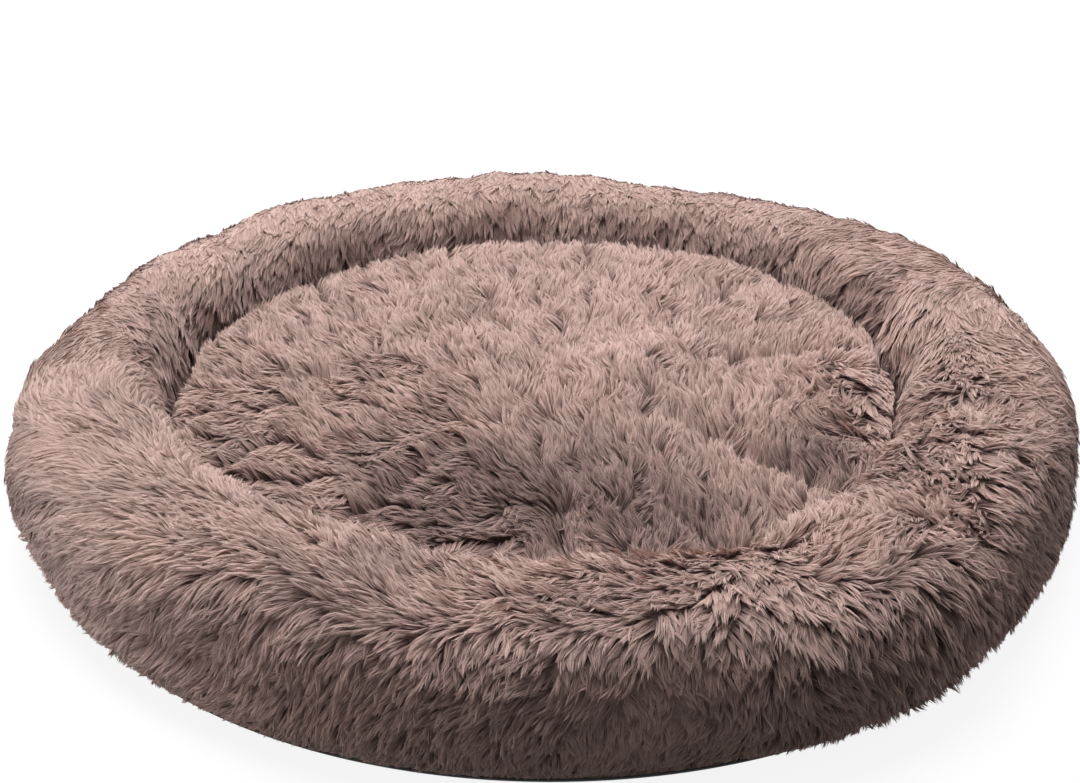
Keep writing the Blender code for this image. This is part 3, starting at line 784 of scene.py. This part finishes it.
def tufts(x, y, spacing, dice):
    """The locks stand in tufts. Steps from each place to the middle of its tuft, in spacings of the tufts, and
    a random number for each tuft, mostly between -1 and 1."""
    across, up = (x - x.min()) / spacing, (y - y.min()) / spacing
    grid = int(np.ptp(x) / spacing) + 3, int(np.ptp(y) / spacing) + 3
    columns, rows = np.arange(grid[0])[:, None], np.arange(grid[1])[None, :]
    middle_x = columns - 0.5 + dice.uniform(-tuft_chance, tuft_chance, grid)
    middle_y = rows - 0.5 + dice.uniform(-tuft_chance, tuft_chance, grid)
    swing = np.clip(dice.normal(0, swing_chance, grid), -swing_limit, swing_limit)
    column, row = np.rint(across + 0.5).astype(int), np.rint(up + 0.5).astype(int)
    nearest = np.full(len(x), np.inf)
    step_x, step_y, own = np.zeros((3, len(x)))
    for aside in (-1, 0, 1):
        for above in (-1, 0, 1):
            place = np.clip(column + aside, 0, grid[0] - 1), np.clip(row + above, 0, grid[1] - 1)
            dx, dy = middle_x[place] - across, middle_y[place] - up
            closer = np.hypot(dx, dy) < nearest
            nearest = np.where(closer, np.hypot(dx, dy), nearest)
            step_x, step_y = np.where(closer, dx, step_x), np.where(closer, dy, step_y)
            own = np.where(closer, swing[place], own)
    return step_x, step_y, own


def tufted(along, up, pull, x, y, spacing, dice):
    """The heading of each lock, drawn by pull to the middle of its tuft, the tuft's random number, and how far
    behind that middle the lock is rooted."""
    step_x, step_y, swing = tufts(x, y, spacing, dice)
    ahead = (step_x * along + step_y * up) / np.maximum(np.hypot(along, up), least_comb)
    return np.arctan2(up + pull * step_y, along + pull * step_x), swing, ahead


def lengths(total, dice):
    return lock_length * (least_length + length_chance * dice.random(total))


def lifts(table, flat, stand, low, dice):
    """The lifts of the locks in radians, by one of the tables of lifts."""
    plain, flat_step, stand_step, low_step, chance, flat_chance = table
    by_chance = dice.normal(0, 1, len(flat)) * (chance + flat_chance * flat)
    return np.radians(plain + flat_step * flat + stand_step * stand + low_step * low + by_chance)


def ring_locks(first, last, lowest, highest, seed, end_arc, flare, overhang):
    """Roots, flow, lifts, lengths and colours of the locks on a panel between two angles and two arcs. Locks
    don't hang past end_arc by more than overhang, and flare is the least height that they have there."""
    dice = np.random.default_rng(seed)
    angles, arcs = [], []
    for number, arc in enumerate(np.arange(lowest, highest, lock_spacing * row_share)):
        steps = max(1, round((last - first) * float(ring_scale(0, arc)) / lock_spacing))
        angles.append(first + (np.arange(steps) + 0.5 * (number % 2) + 0.25) * (last - first) / steps)
        arcs.append(np.full(steps, arc))
    angle, arc = np.concatenate(angles), np.concatenate(arcs)
    total = len(angle)
    angle = angle + dice.normal(0, place_chance, total) * lock_spacing / middle_radius
    arc = np.clip(arc + dice.normal(0, place_chance, total) * lock_spacing, lowest, highest)
    along, up, stand, ahead = ring_flow(angle, arc, dice)
    turn, flat, far = turn_of(arc), flatness(angle, arc), far_side(angle)
    # wall marks the outer wall, where the tips get painted shade, and low its foot, where the roots also get
    # painted shade
    low, wall = 1 - risen(turn, *low_end), 1 - risen(turn, *wall_end)
    # lit marks the front left wall, whose locks get painted light
    lit = wall * beside(angle, *lit_place)
    brow = far * near(turn, *brow_turn)
    # rim marks the far side's outer wall, whose roots are painted pale, a painted glow of light from behind
    rim = far * (1 - risen(turn, *rim_end))
    length = lengths(total, dice) * (1 - stand_shorter * stand) * (1 - low_shorter * low)
    tip_lift = lifts(ring_tip_lifts, flat, stand, low, dice)
    root_lift = lifts(ring_root_lifts, flat, stand, low, dice) * (1 - brow_flat * brow)
    gathered = tuft_lift * (1 - flat_calm * flat) * (1 - brow_calm * brow) * ahead
    # Painted light on the crest and the front left wall, and painted shade on the left side
    tone = ring_tones.plain + ring_tones.crest * near(turn, *crest_turn) + ring_tones.low * low
    tone = tone + ring_tones.lit * lit + ring_tones.left * beside(angle, *left_place)
    tone = tone + ring_tones.cloud * ring_tone(angle, arc)
    tone = tone + dice.normal(0, 1, total) * (ring_tones.lock + ring_tones.low_lock * low)

    # Paler roots where the pile lies flat, less painted shade, and darker roots at the foot of the outer wall,
    # painted shade
    pale = ring_pale.flat * flat + ring_pale.low * low * (1 - flat)

    def held(u, v, out):
        short = end_arc - v
        held_v = np.where(short > 0, end_arc - overhang * np.tanh(short / overhang), v)
        least = flare * smooth((end_arc + flare_reach - held_v) / flare_reach)
        least = least * smooth(out / flare_height + root_flare_share)
        return u, held_v, np.maximum(out * (1 + fullness(u, turn_of(v))), least)

    return SimpleNamespace(
        u=angle, v=arc, along=along, up=up, length=length, foot=root_height + sleek_rise * flat, held=held,
        lift_start=root_lift - gathered / 2, lift_end=tip_lift - brow_drop * brow - gathered, tone=tone,
        # Painted glow and light pale the roots on the far side's outer wall and the front left wall; painted
        # shade dulls the tips on the outer wall, less where painted light falls, and where the pile lies flat
        pale=pale + ring_pale.rim * rim + ring_pale.lit * lit,
        cut=wall_cut * (wall - lit_cut_share * lit) + flat_cut * flat * (1 - wall),
    )


def fullness(angle, turn):
    """How much further than elsewhere the outer wall's pile stands out, as a share."""
    total = sum(share * beside(angle, place, spread) for place, share, spread in fullness_places)
    return total * (1 - risen(turn, *full_end))


def combed(angle, band):
    """The step along the ring and up the section in one band of the table: 1 is the outer wall, 2 the crest
    and 3 the inner wall."""
    places, steps = [row[0] for row in ring_combs], np.array([row[band] for row in ring_combs])
    return [np.interp(np.degrees(angle), places, part, period=360) for part in steps.T]


def ring_combing(angle, arc):
    """The step along the ring and up the section that the pile is combed by, and how tousled it is."""
    turn = turn_of(arc) + parting_wander * wander_up(angle, 0 * arc)
    early = turn + back_parting_drop * risen(np.abs(apart(angle, 0)), *back_parting)
    over, past = risen(early, *crest_start), risen(turn, *crest_end)
    steps = zip(*[combed(angle, band) for band in (1, 2, 3)])
    along, up = [wall * (1 - over) + crest * (over - past) + inner * past for wall, crest, inner in steps]
    wander, mess = wander_share * (1 - comb_calm * sleek(angle, turn)), tousled(angle, turn)
    along = along + wander * wander_along(angle, arc) + mess_share * mess * wander_up(angle * 2, arc * 2)
    up = up + wander * wander_up(angle, arc) + mess_share * mess * wander_along(angle * 2, arc * 2)
    return along, up, mess


def ring_flow(angle, arc, dice):
    """The way that each lock lies, as a unit step along the ring and up the section, how far it stands up, from
    0 to 1, and how far behind the middle of its tuft it is rooted, in spacings of the tufts."""
    along, up, mess = ring_combing(angle, arc)
    size = np.hypot(along, up)
    short = np.clip(full_comb - size, 0, 1)
    calm = 1 - flow_calm * sleek(angle, turn_of(arc))
    pull = 2 * (ring_tuft_pull + mess) * calm * size
    spots = angle * middle_radius, arc
    heading, swing, ahead = tufted(along, up, pull, *spots, ring_tuft_spacing, dice)
    turned = dice.normal(0, 1, len(angle)) * calm * (twist + loose_twist * (mess + short))
    heading = heading + turned + swing * ring_tuft_swing * (calm + mess_swing * mess)
    return np.cos(heading), np.sin(heading), np.clip(loose_stand * short + mess_stand * mess, 0, 1), ahead


def seat_locks(seed):
    """Roots, flow, lifts, lengths and colours of the locks on the seat."""
    dice = np.random.default_rng(seed)
    reach = middle_radius - body_half_width + gather_tuck
    steps = np.arange(-reach, reach, lock_spacing)
    x, y = np.meshgrid(steps, steps, indexing="ij")
    x = x + 0.5 * lock_spacing * (np.arange(len(steps)) % 2)
    x, y = x.ravel(), y.ravel()
    x = x + dice.normal(0, place_chance, len(x)) * lock_spacing
    y = y + dice.normal(0, place_chance, len(y)) * lock_spacing
    inside = np.hypot(x, y) < seat_rim(np.arctan2(x, -y)) - seat_margin
    x, y = x[inside], y[inside]
    total = len(x)
    along, up, weight = 0, 0, seat_comb_floor
    for comb_x, comb_y, heading, spread in seat_combs:
        share = bump(np.hypot(x - comb_x, y - comb_y), seat_comb_reach * spread)
        along = along + share * math.cos(math.radians(heading))
        up = up + share * math.sin(math.radians(heading))
        weight = weight + share
    along = along / weight + seat_wander_share * seat_wander_x(x, y)
    up = up / weight + seat_wander_share * seat_wander_y(x, y)
    size = np.hypot(along, up)
    pull = 2 * seat_tuft_pull * np.maximum(size, least_comb)
    heading, swing, ahead = tufted(along, up, pull, x, y, seat_tuft_spacing, dice)
    heading = heading + dice.normal(0, seat_twist, total) + swing * seat_tuft_swing
    stand = seat_stand * np.clip(1 - size, 0, 1)
    # forward also pales the roots there, less painted shade where the locks point forwards
    forward = np.clip(-np.sin(heading), 0, 1)  # where the pile leans forwards
    # Painted light and shade: spots where the locks are coloured darker or lighter; the darker ones also darken
    # the roots and dull the tips
    painted_shading = sum(tone * bump(np.hypot(x - shading_x, y - shading_y), spread) for shading_x, shading_y, tone, spread in seat_painted_shading)
    dark = np.minimum(painted_shading, 0)
    gathered = tuft_lift * (1 - forward_calm * forward) * ahead
    rim_share = np.hypot(x, y) / seat_rim(np.arctan2(x, -y))
    shorter = seat_rim_shorter * smooth((rim_share - seat_rim_start) / (1 - seat_rim_start))
    length = lengths(total, dice) * (1 - shorter)
    lift_start = lifts(seat_root_lifts, forward, stand, 0, dice) - gathered / 2
    lift_end = lifts(seat_tip_lifts, forward, stand, 0, dice) - gathered
    tone = seat_tones.plain + painted_shading + seat_tones.cloud * seat_tone(x, y) + seat_tones.swing * swing
    return SimpleNamespace(
        u=x, v=y, along=np.cos(heading), up=np.sin(heading), length=length, lift_start=lift_start,
        lift_end=lift_end, tone=tone + dice.normal(0, seat_tones.lock, total), held=lambda *spot: spot,
        # cut and pale: painted shade under the seat's darker spots, and paler roots where the pile leans
        # forwards, less painted shade
        foot=root_height + forward_rise * forward, cut=seat_cut - seat_painted_shade_cut * dark,
        pale=seat_pale.plain + seat_pale.forward * forward + seat_pale.painted_shading * dark,
    )


def backing_panel(name, node, first, last, low, high, finish):
    """The cover's own cloth and dense underpile on a panel of the bolster."""
    angle, arc = np.meshgrid(np.linspace(first, last, 46), np.linspace(low, high, 22), indexing="ij")
    top = backing_height + backing_rise_share * sleek_rise * flatness(angle, arc)
    mesh = shell(ring_spot(angle, arc, top), ring_spot(angle, arc, top - backing_thickness), False)
    piece = piece_of(name, tidied(mesh), finish, node)


def ring_cover(pile_material, backing_material):
    """Four outer and four inner wall panels."""
    quarter = math.radians(90)
    gap = clearance / 2 / middle_radius
    crest = arc_of(math.radians(90))
    inner_end = arc_of(math.pi - foot_turn(inner_hem_height))
    for number, side in enumerate(("front", "right", "back", "left")):
        first, last = (number - 0.5) * quarter, (number + 0.5) * quarter
        if side == "back":
            hem, flare, overhang = band_top()[1], zip_flare, zip_overhang
        else:
            hem, flare, overhang = lip_height, hem_flare, hem_overhang
        hem_arc = arc_of(foot_turn(hem + clearance))
        outer = ring_locks(first, last, hem_arc + hem_inset, crest, 100 + number, hem_arc, flare, overhang)
        inner = ring_locks(first, last, crest, inner_end, 200 + number, 0.0, 0.0, hem_overhang)
        for part, locks, low, high in (("outer", outer, hem_arc, crest), ("inner", inner, crest, inner_end)):
            node, name = f"{part}_wall_fur_{side}", f"{part}_wall_{side}"
            backing_panel(f"{name}_backing", node, first + gap, last - gap, low, high, backing_material)
            pile_pieces(name, ring_spot, ring_scale, locks, pile_material, 300 + number, node)


def seat_cover(pile_material, backing_material):
    """The round panel of the seat."""
    backing_foot = 0.0008
    angles = np.linspace(0, 2 * math.pi, 120, endpoint=False)
    angle, share = np.meshgrid(angles, np.linspace(1, 0, 26), indexing="ij")
    radius = share * (seat_rim(angle) - clearance)
    x, y = radius * np.sin(angle), -radius * np.cos(angle)
    mesh = shell(seat_spot(x, y, backing_height), seat_spot(x, y, backing_foot), True)
    piece = piece_of("seat_backing", tidied(mesh), backing_material, "seat_fur")
    locks = seat_locks(400)
    pile_pieces("seat", seat_spot, lambda u, v: np.ones_like(u), locks, pile_material, 401, "seat_fur")


# The base


def body_side(height):
    return float(section(foot_turn(height))[0])


def lip_top():
    return body_side(lip_height) + lip_stand + base_cloth, lip_height


def base_piece(finish, dots_finish):
    """The base cloth with its turned-up lip, and the grip dots printed under it."""
    dot_height, dot_radius, dot_spacing = 0.0006, 0.0026, 0.026
    radius, height = lip_top()
    start = radius - lip_reach
    outer, inner = [], []
    for share in np.linspace(0, 1, 13):
        outer.append((start * share, dot_height))
        inner.append((start * share, base_cloth))
    for turn in np.linspace(0, math.pi / 2, 12)[1:]:
        across, up = math.sin(turn), 1 - math.cos(turn)
        outer.append((start + lip_reach * across, dot_height + (height - dot_height) * up))
        inner.append((start + (lip_reach - base_cloth) * across, base_cloth + (height - base_cloth) * up))
    angles = np.linspace(0, 2 * math.pi, 240, endpoint=False)
    grids = []
    for profile in (np.array(outer), np.array(inner)):
        angle, row = np.meshgrid(angles, np.arange(len(profile)), indexing="ij")
        grids.append(around(profile[row, 0], angle, profile[row, 1]))
    piece = piece_of("base_cloth", tidied(shell(*grids, True)), finish, "base_panel")
    form = bmesh.new()
    rows = int(start / dot_spacing / row_share)
    cone = dict(cap_ends=True, segments=10, radius1=0.75 * dot_radius, radius2=dot_radius, depth=dot_height)
    for row in range(-rows, rows + 1):
        for column in range(-rows - 2, rows + 3):
            x, y = (column + 0.5 * (row % 2)) * dot_spacing, row * dot_spacing * row_share
            if math.hypot(x, y) < start - 2 * dot_radius:
                made = bmesh.ops.create_cone(form, **cone)
                bmesh.ops.translate(form, verts=made["verts"], vec=(x, y, dot_height / 2))
    mesh = bpy.data.meshes.new("dots")
    form.to_mesh(mesh)
    form.free()
    piece_of("base_grip_dots", mesh, dots_finish)


# The zip


def band_bottom():
    radius, height = lip_top()
    return radius - base_cloth, height + clearance + tape_cloth


def band_top():
    height = band_bottom()[1] + zip_rise
    return body_side(height) + zip_stand, height


def band_point(angle, across, out):
    """A point on the zip's band, as in the construction."""
    low, high = Vector(band_bottom()), Vector(band_top())
    up = (high - low).normalized()
    outwards = Vector((up.y, -up.x))
    length = (high - low).length
    radius = low.x + up.x * (length / 2 + across) + outwards.x * out
    height = low.y + up.y * (length / 2 + across) + outwards.y * out
    return around(radius, angle, height)


def zip_angles():
    """The angles at which the tapes start and end, those at which the coils do, and the band's radius."""
    radius = float((band_bottom()[0] + band_top()[0]) / 2)
    gap = clearance / radius
    first, last = zip_middle - zip_spread / 2 + gap, zip_middle + zip_spread / 2 - gap
    reach = (tape_end + stop_length) / radius
    return first, last, first + reach + gap, last - reach - gap, radius


def zip_tapes(finish, thread):
    """The two tapes, with two rows of stitches each."""
    stitches_in, stitches_out, tape_foot = 0.0014, 0.0022, 0.0001
    first, last, _, _, radius = zip_angles()
    half = (Vector(band_top()) - Vector(band_bottom())).length / 2
    for name, side in (("upper", 1), ("lower", -1)):
        across = side * np.linspace(coil_gap / 2, half, 9)
        angle, row = np.meshgrid(np.linspace(first, last, 200), across, indexing="ij")
        mesh = shell(band_point(angle, row, tape_cloth), band_point(angle, row, tape_foot), False)
        piece = piece_of(f"zip_tape_{name}_weave", tidied(mesh), finish, f"zip_tape_{name}")
        places = (coil_gap / 2 + coil_width + stitches_in, half - stitches_out)
        for number, place in enumerate(places, start=1):
            stitch_row(f"zip_stitches_{name}_{number}", side * place, first, last, thread)


def stitch_row(name, across, first, last, finish):
    """A row of sewn stitches along the band: short raised threads."""
    pitch, length, thick, end_share, crown = 0.0034, 0.0024, 0.0005, 0.35, 0.9
    radius = zip_angles()[4]
    count = int((last - first) * radius / pitch)
    shares = np.linspace(-0.5, 0.5, 5)
    points, corners = [], []
    for number in range(count):
        middle = first + (number + 0.5) * (last - first) / count
        base = len(points) * 3
        for share in shares:
            rise = math.cos(math.pi * share)
            angle = middle + share * length / radius
            wide = thick * (end_share + (1 - end_share) * rise) / 2
            points.append(np.stack([
                band_point(angle, across - wide, tape_cloth),
                band_point(angle, across, tape_cloth + rise * thick * crown),
                band_point(angle, across + wide, tape_cloth),
            ]))
        for low in base + 3 * np.arange(len(shares) - 1)[:, None] + np.arange(2):
            corners += [(at, at + 1, at + 4, at + 3) for at in low]
    corners = np.array(corners)
    mesh = mesh_from(np.concatenate(points), corners.ravel(), np.full(len(corners), 4))
    piece_of(name, mesh, finish)


def coil_row(name, side, finish):
    """One row of the zip's coil: a flattened helix of nylon wire, with its loops leaning into the gap."""
    _, _, low, high, radius = zip_angles()
    pitch, wire, per_turn, sides = 0.0015, 0.00032, 9, 5
    turns = int((high - low) * radius / pitch)
    run = np.arange(turns * per_turn + 1) / per_turn
    angle = low + (high - low) * run / turns
    middle_across = side * (coil_gap + coil_width) / 2
    middle_out = tape_cloth + clearance + coil_height / 2
    across = middle_across + side * (coil_width / 2 - wire) * np.cos(2 * math.pi * run)
    out = middle_out + (coil_height / 2 - wire) * np.sin(2 * math.pi * run)
    line = band_point(angle, across, out)
    tangent = unit(np.gradient(line, axis=0))
    outward = line - band_point(angle, middle_across, middle_out)
    outward = unit(outward - tangent * (outward * tangent).sum(1, keepdims=True))
    beyond = np.cross(tangent, outward)
    turn = 2 * math.pi * np.arange(sides) / sides
    ring = outward[:, None] * np.cos(turn)[:, None] + beyond[:, None] * np.sin(turn)[:, None]
    points = line[:, None] + wire * ring
    index = np.arange(points.shape[0] * sides).reshape(-1, sides)
    after = np.roll(index, -1, axis=1)
    quads = np.stack([index[:-1], after[:-1], after[1:], index[1:]], axis=-1).reshape(-1, 4)
    corners = np.concatenate([quads.ravel(), index[0][::-1], index[-1]])
    sizes = np.concatenate([np.full(len(quads), 4), [sides, sides]])
    mesh = mesh_from(points.reshape(-1, 3), corners, sizes)
    piece_of(name, mesh, finish, name.replace("_wire", ""))


# Linings and filling, which lie inside


def wrinkled(node, name, depth, size, finish, cuts):
    """A finer copy of a cloth or filling node with wrinkles or lumps of this depth and size, drawn inwards
    only. cuts is how many times each edge is divided."""
    form = bmesh.new()
    form.from_mesh(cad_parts[node].data)
    bmesh.ops.remove_doubles(form, verts=form.verts, dist=clearance / 100)
    bmesh.ops.subdivide_edges(form, edges=form.edges, cuts=cuts, use_grid_fill=True)
    bmesh.ops.recalc_face_normals(form, faces=form.faces)
    form.normal_update()
    for point in form.verts:
        point.co -= point.normal * depth * (0.5 + 0.5 * noise.noise(point.co / size))
    mesh = bpy.data.meshes.new(name)
    form.to_mesh(mesh)
    form.free()
    return piece_of(name, mesh, finish, node)


def insides(lining, filling):
    """The linings and the filling, in cloth and loose fibre."""
    cloths = "ring_sleeve_outer", "ring_sleeve_inner", "seat_case_top", "seat_case_bottom", "pocket_divider"
    for node in cloths:
        piece = wrinkled(node, f"{node}_cloth", 0.0002, 0.030, lining, 1)
    for node in ("ring_fibre", "seat_fibre"):
        piece = wrinkled(node, f"{node}_fill", 0.004, 0.045, filling, 3)


# The studio

photo_width, photo_height = 1080, 783
focal_pixels = 2168
eye_distance = 2.40
eye_elevation = math.radians(28.5)
look_middle = Vector((0, 0, 0.07))
look_pixel = (549.2, 432.0)  # where that point lies in the photograph
sensor_width = 36
# Lamps: place, size, power and the point that they face
lamps = {
    "top_light": ((-0.25, 0.50, 2.4), 2.4, 78, (0, 0.05, 0)),
    "left_light": ((-2.4, -0.8, 0.8), 1.4, 12.5, (0, 0, 0.1)),
    "right_light": ((2.3, 0.2, 1.1), 1.4, 5, (0, 0, 0.1)),
    "back_light": ((0.2, 2.5, 1.2), 1.8, 15, (0, 0, 0.1)),
}
world_strength = 0.19
floor_reach, floor_grey, floor_glow = 30, 0.15, 0.88
white = (1, 1, 1, 1)


def aimed(made, place, target):
    """The object put at a place and turned to a target."""
    made.location = place
    made.rotation_mode = "QUATERNION"
    made.rotation_quaternion = (Vector(target) - made.location).to_track_quat("-Z", "Y")


def studio():
    """The camera, the lamps, the world and the floor."""
    camera = added("camera", bpy.data.cameras.new("camera"))
    camera.data.sensor_width = sensor_width
    camera.data.lens = focal_pixels / photo_width * sensor_width
    back = Vector((0, -math.cos(eye_elevation), math.sin(eye_elevation)))
    right = Vector((1, 0, 0))
    aside = (photo_width / 2 - look_pixel[0]) / focal_pixels * eye_distance
    above = (look_pixel[1] - photo_height / 2) / focal_pixels * eye_distance
    aim = look_middle + right * aside + right.cross(-back) * above
    aimed(camera, look_middle + back * eye_distance, aim)
    bpy.context.scene.camera = camera
    for name, (place, size, power, target) in lamps.items():
        lamp = added(name, bpy.data.lights.new(name, "AREA"))
        lamp.data.size = size
        lamp.data.energy = power
        aimed(lamp, place, target)

    world = bpy.data.worlds.new("studio")
    bpy.context.scene.world = world
    world.use_nodes = True
    tree = world.node_tree
    background = tree.nodes["Background"]
    seen = tree.nodes.new("ShaderNodeLightPath")
    strength = tree.nodes.new("ShaderNodeMapRange")
    strength.inputs["To Min"].default_value = world_strength
    strength.inputs["To Max"].default_value = 1.0
    tree.links.new(seen.outputs["Is Camera Ray"], strength.inputs["Value"])
    tree.links.new(strength.outputs["Result"], background.inputs["Strength"])
    background.inputs["Color"].default_value = white

    mesh = bpy.data.meshes.new("floor")
    corners = [(x * floor_reach, y * floor_reach, 0) for x, y in ((-1, -1), (1, -1), (1, 1), (-1, 1))]
    mesh.from_pydata(corners, [], [(0, 1, 2, 3)])
    finish = node_finish("floor", 0.9)
    finish.shader.inputs["Base Color"].default_value = (floor_grey, floor_grey, floor_grey, 1)
    finish.shader.inputs["Emission Color"].default_value = white
    path = finish.add("ShaderNodeLightPath").outputs
    seen = reckoned(finish, "MAXIMUM", path["Is Camera Ray"], path["Is Glossy Ray"])
    finish.link(reckoned(finish, "MULTIPLY", seen, floor_glow), finish.shader.inputs["Emission Strength"])
    mesh.materials.append(finish.made)
    added("floor", mesh)
    bpy.context.scene.view_settings.view_transform = "Standard"


def main():
    studio()
    pile_material = pile_finish()
    backing_material = backing_finish()
    dark_weave = woven_finish("dark_weave", (0.020, 0.020, 0.022), (0.060, 0.058, 0.062), 900)
    tape_weave = woven_finish("tape_weave", (0.060, 0.047, 0.044), (0.150, 0.120, 0.112), 1800)
    lining = woven_finish("lining_weave", (0.48, 0.46, 0.43), (0.66, 0.64, 0.61), 1200)
    thread = woven_finish("sewing_thread", (0.10, 0.080, 0.075), (0.22, 0.175, 0.165), 4000)
    fibre = ((0.3, (0.70, 0.70, 0.69)), (0.7, (0.92, 0.92, 0.91)))
    filling = mottled_finish("loose_fibre", 1.0, (60, 8, 0.7), fibre, 0.003, sheen=0.2)
    worn = ((0.35, (0.24, 0.225, 0.215)), (0.7, (0.42, 0.40, 0.385)))
    metal = mottled_finish("dull_metal", 0.35, (900,), worn, 0.00005, 0.4, metallic=1.0)
    nylon = ((0.3, (0.10, 0.078, 0.074)), (0.7, (0.17, 0.135, 0.128)))
    coil = mottled_finish("nylon_coil", 0.38, (500,), nylon)
    rubber = ((0.3, (0.018, 0.018, 0.019)), (0.7, (0.035, 0.035, 0.037)))
    dots = mottled_finish("grip_dots", 0.55, (500,), rubber)
    ring_cover(pile_material, backing_material)
    seat_cover(pile_material, backing_material)
    base_piece(dark_weave, dots)
    zip_tapes(tape_weave, thread)
    coil_row("zip_coil_upper_wire", 1, coil)
    coil_row("zip_coil_lower_wire", -1, coil)
    insides(lining, filling)
    for node in ("zip_slider", "zip_pull", "zip_top_stop_upper", "zip_top_stop_lower", "zip_bottom_stop"):
        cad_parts[node].material_slots[0].material = metal


main()
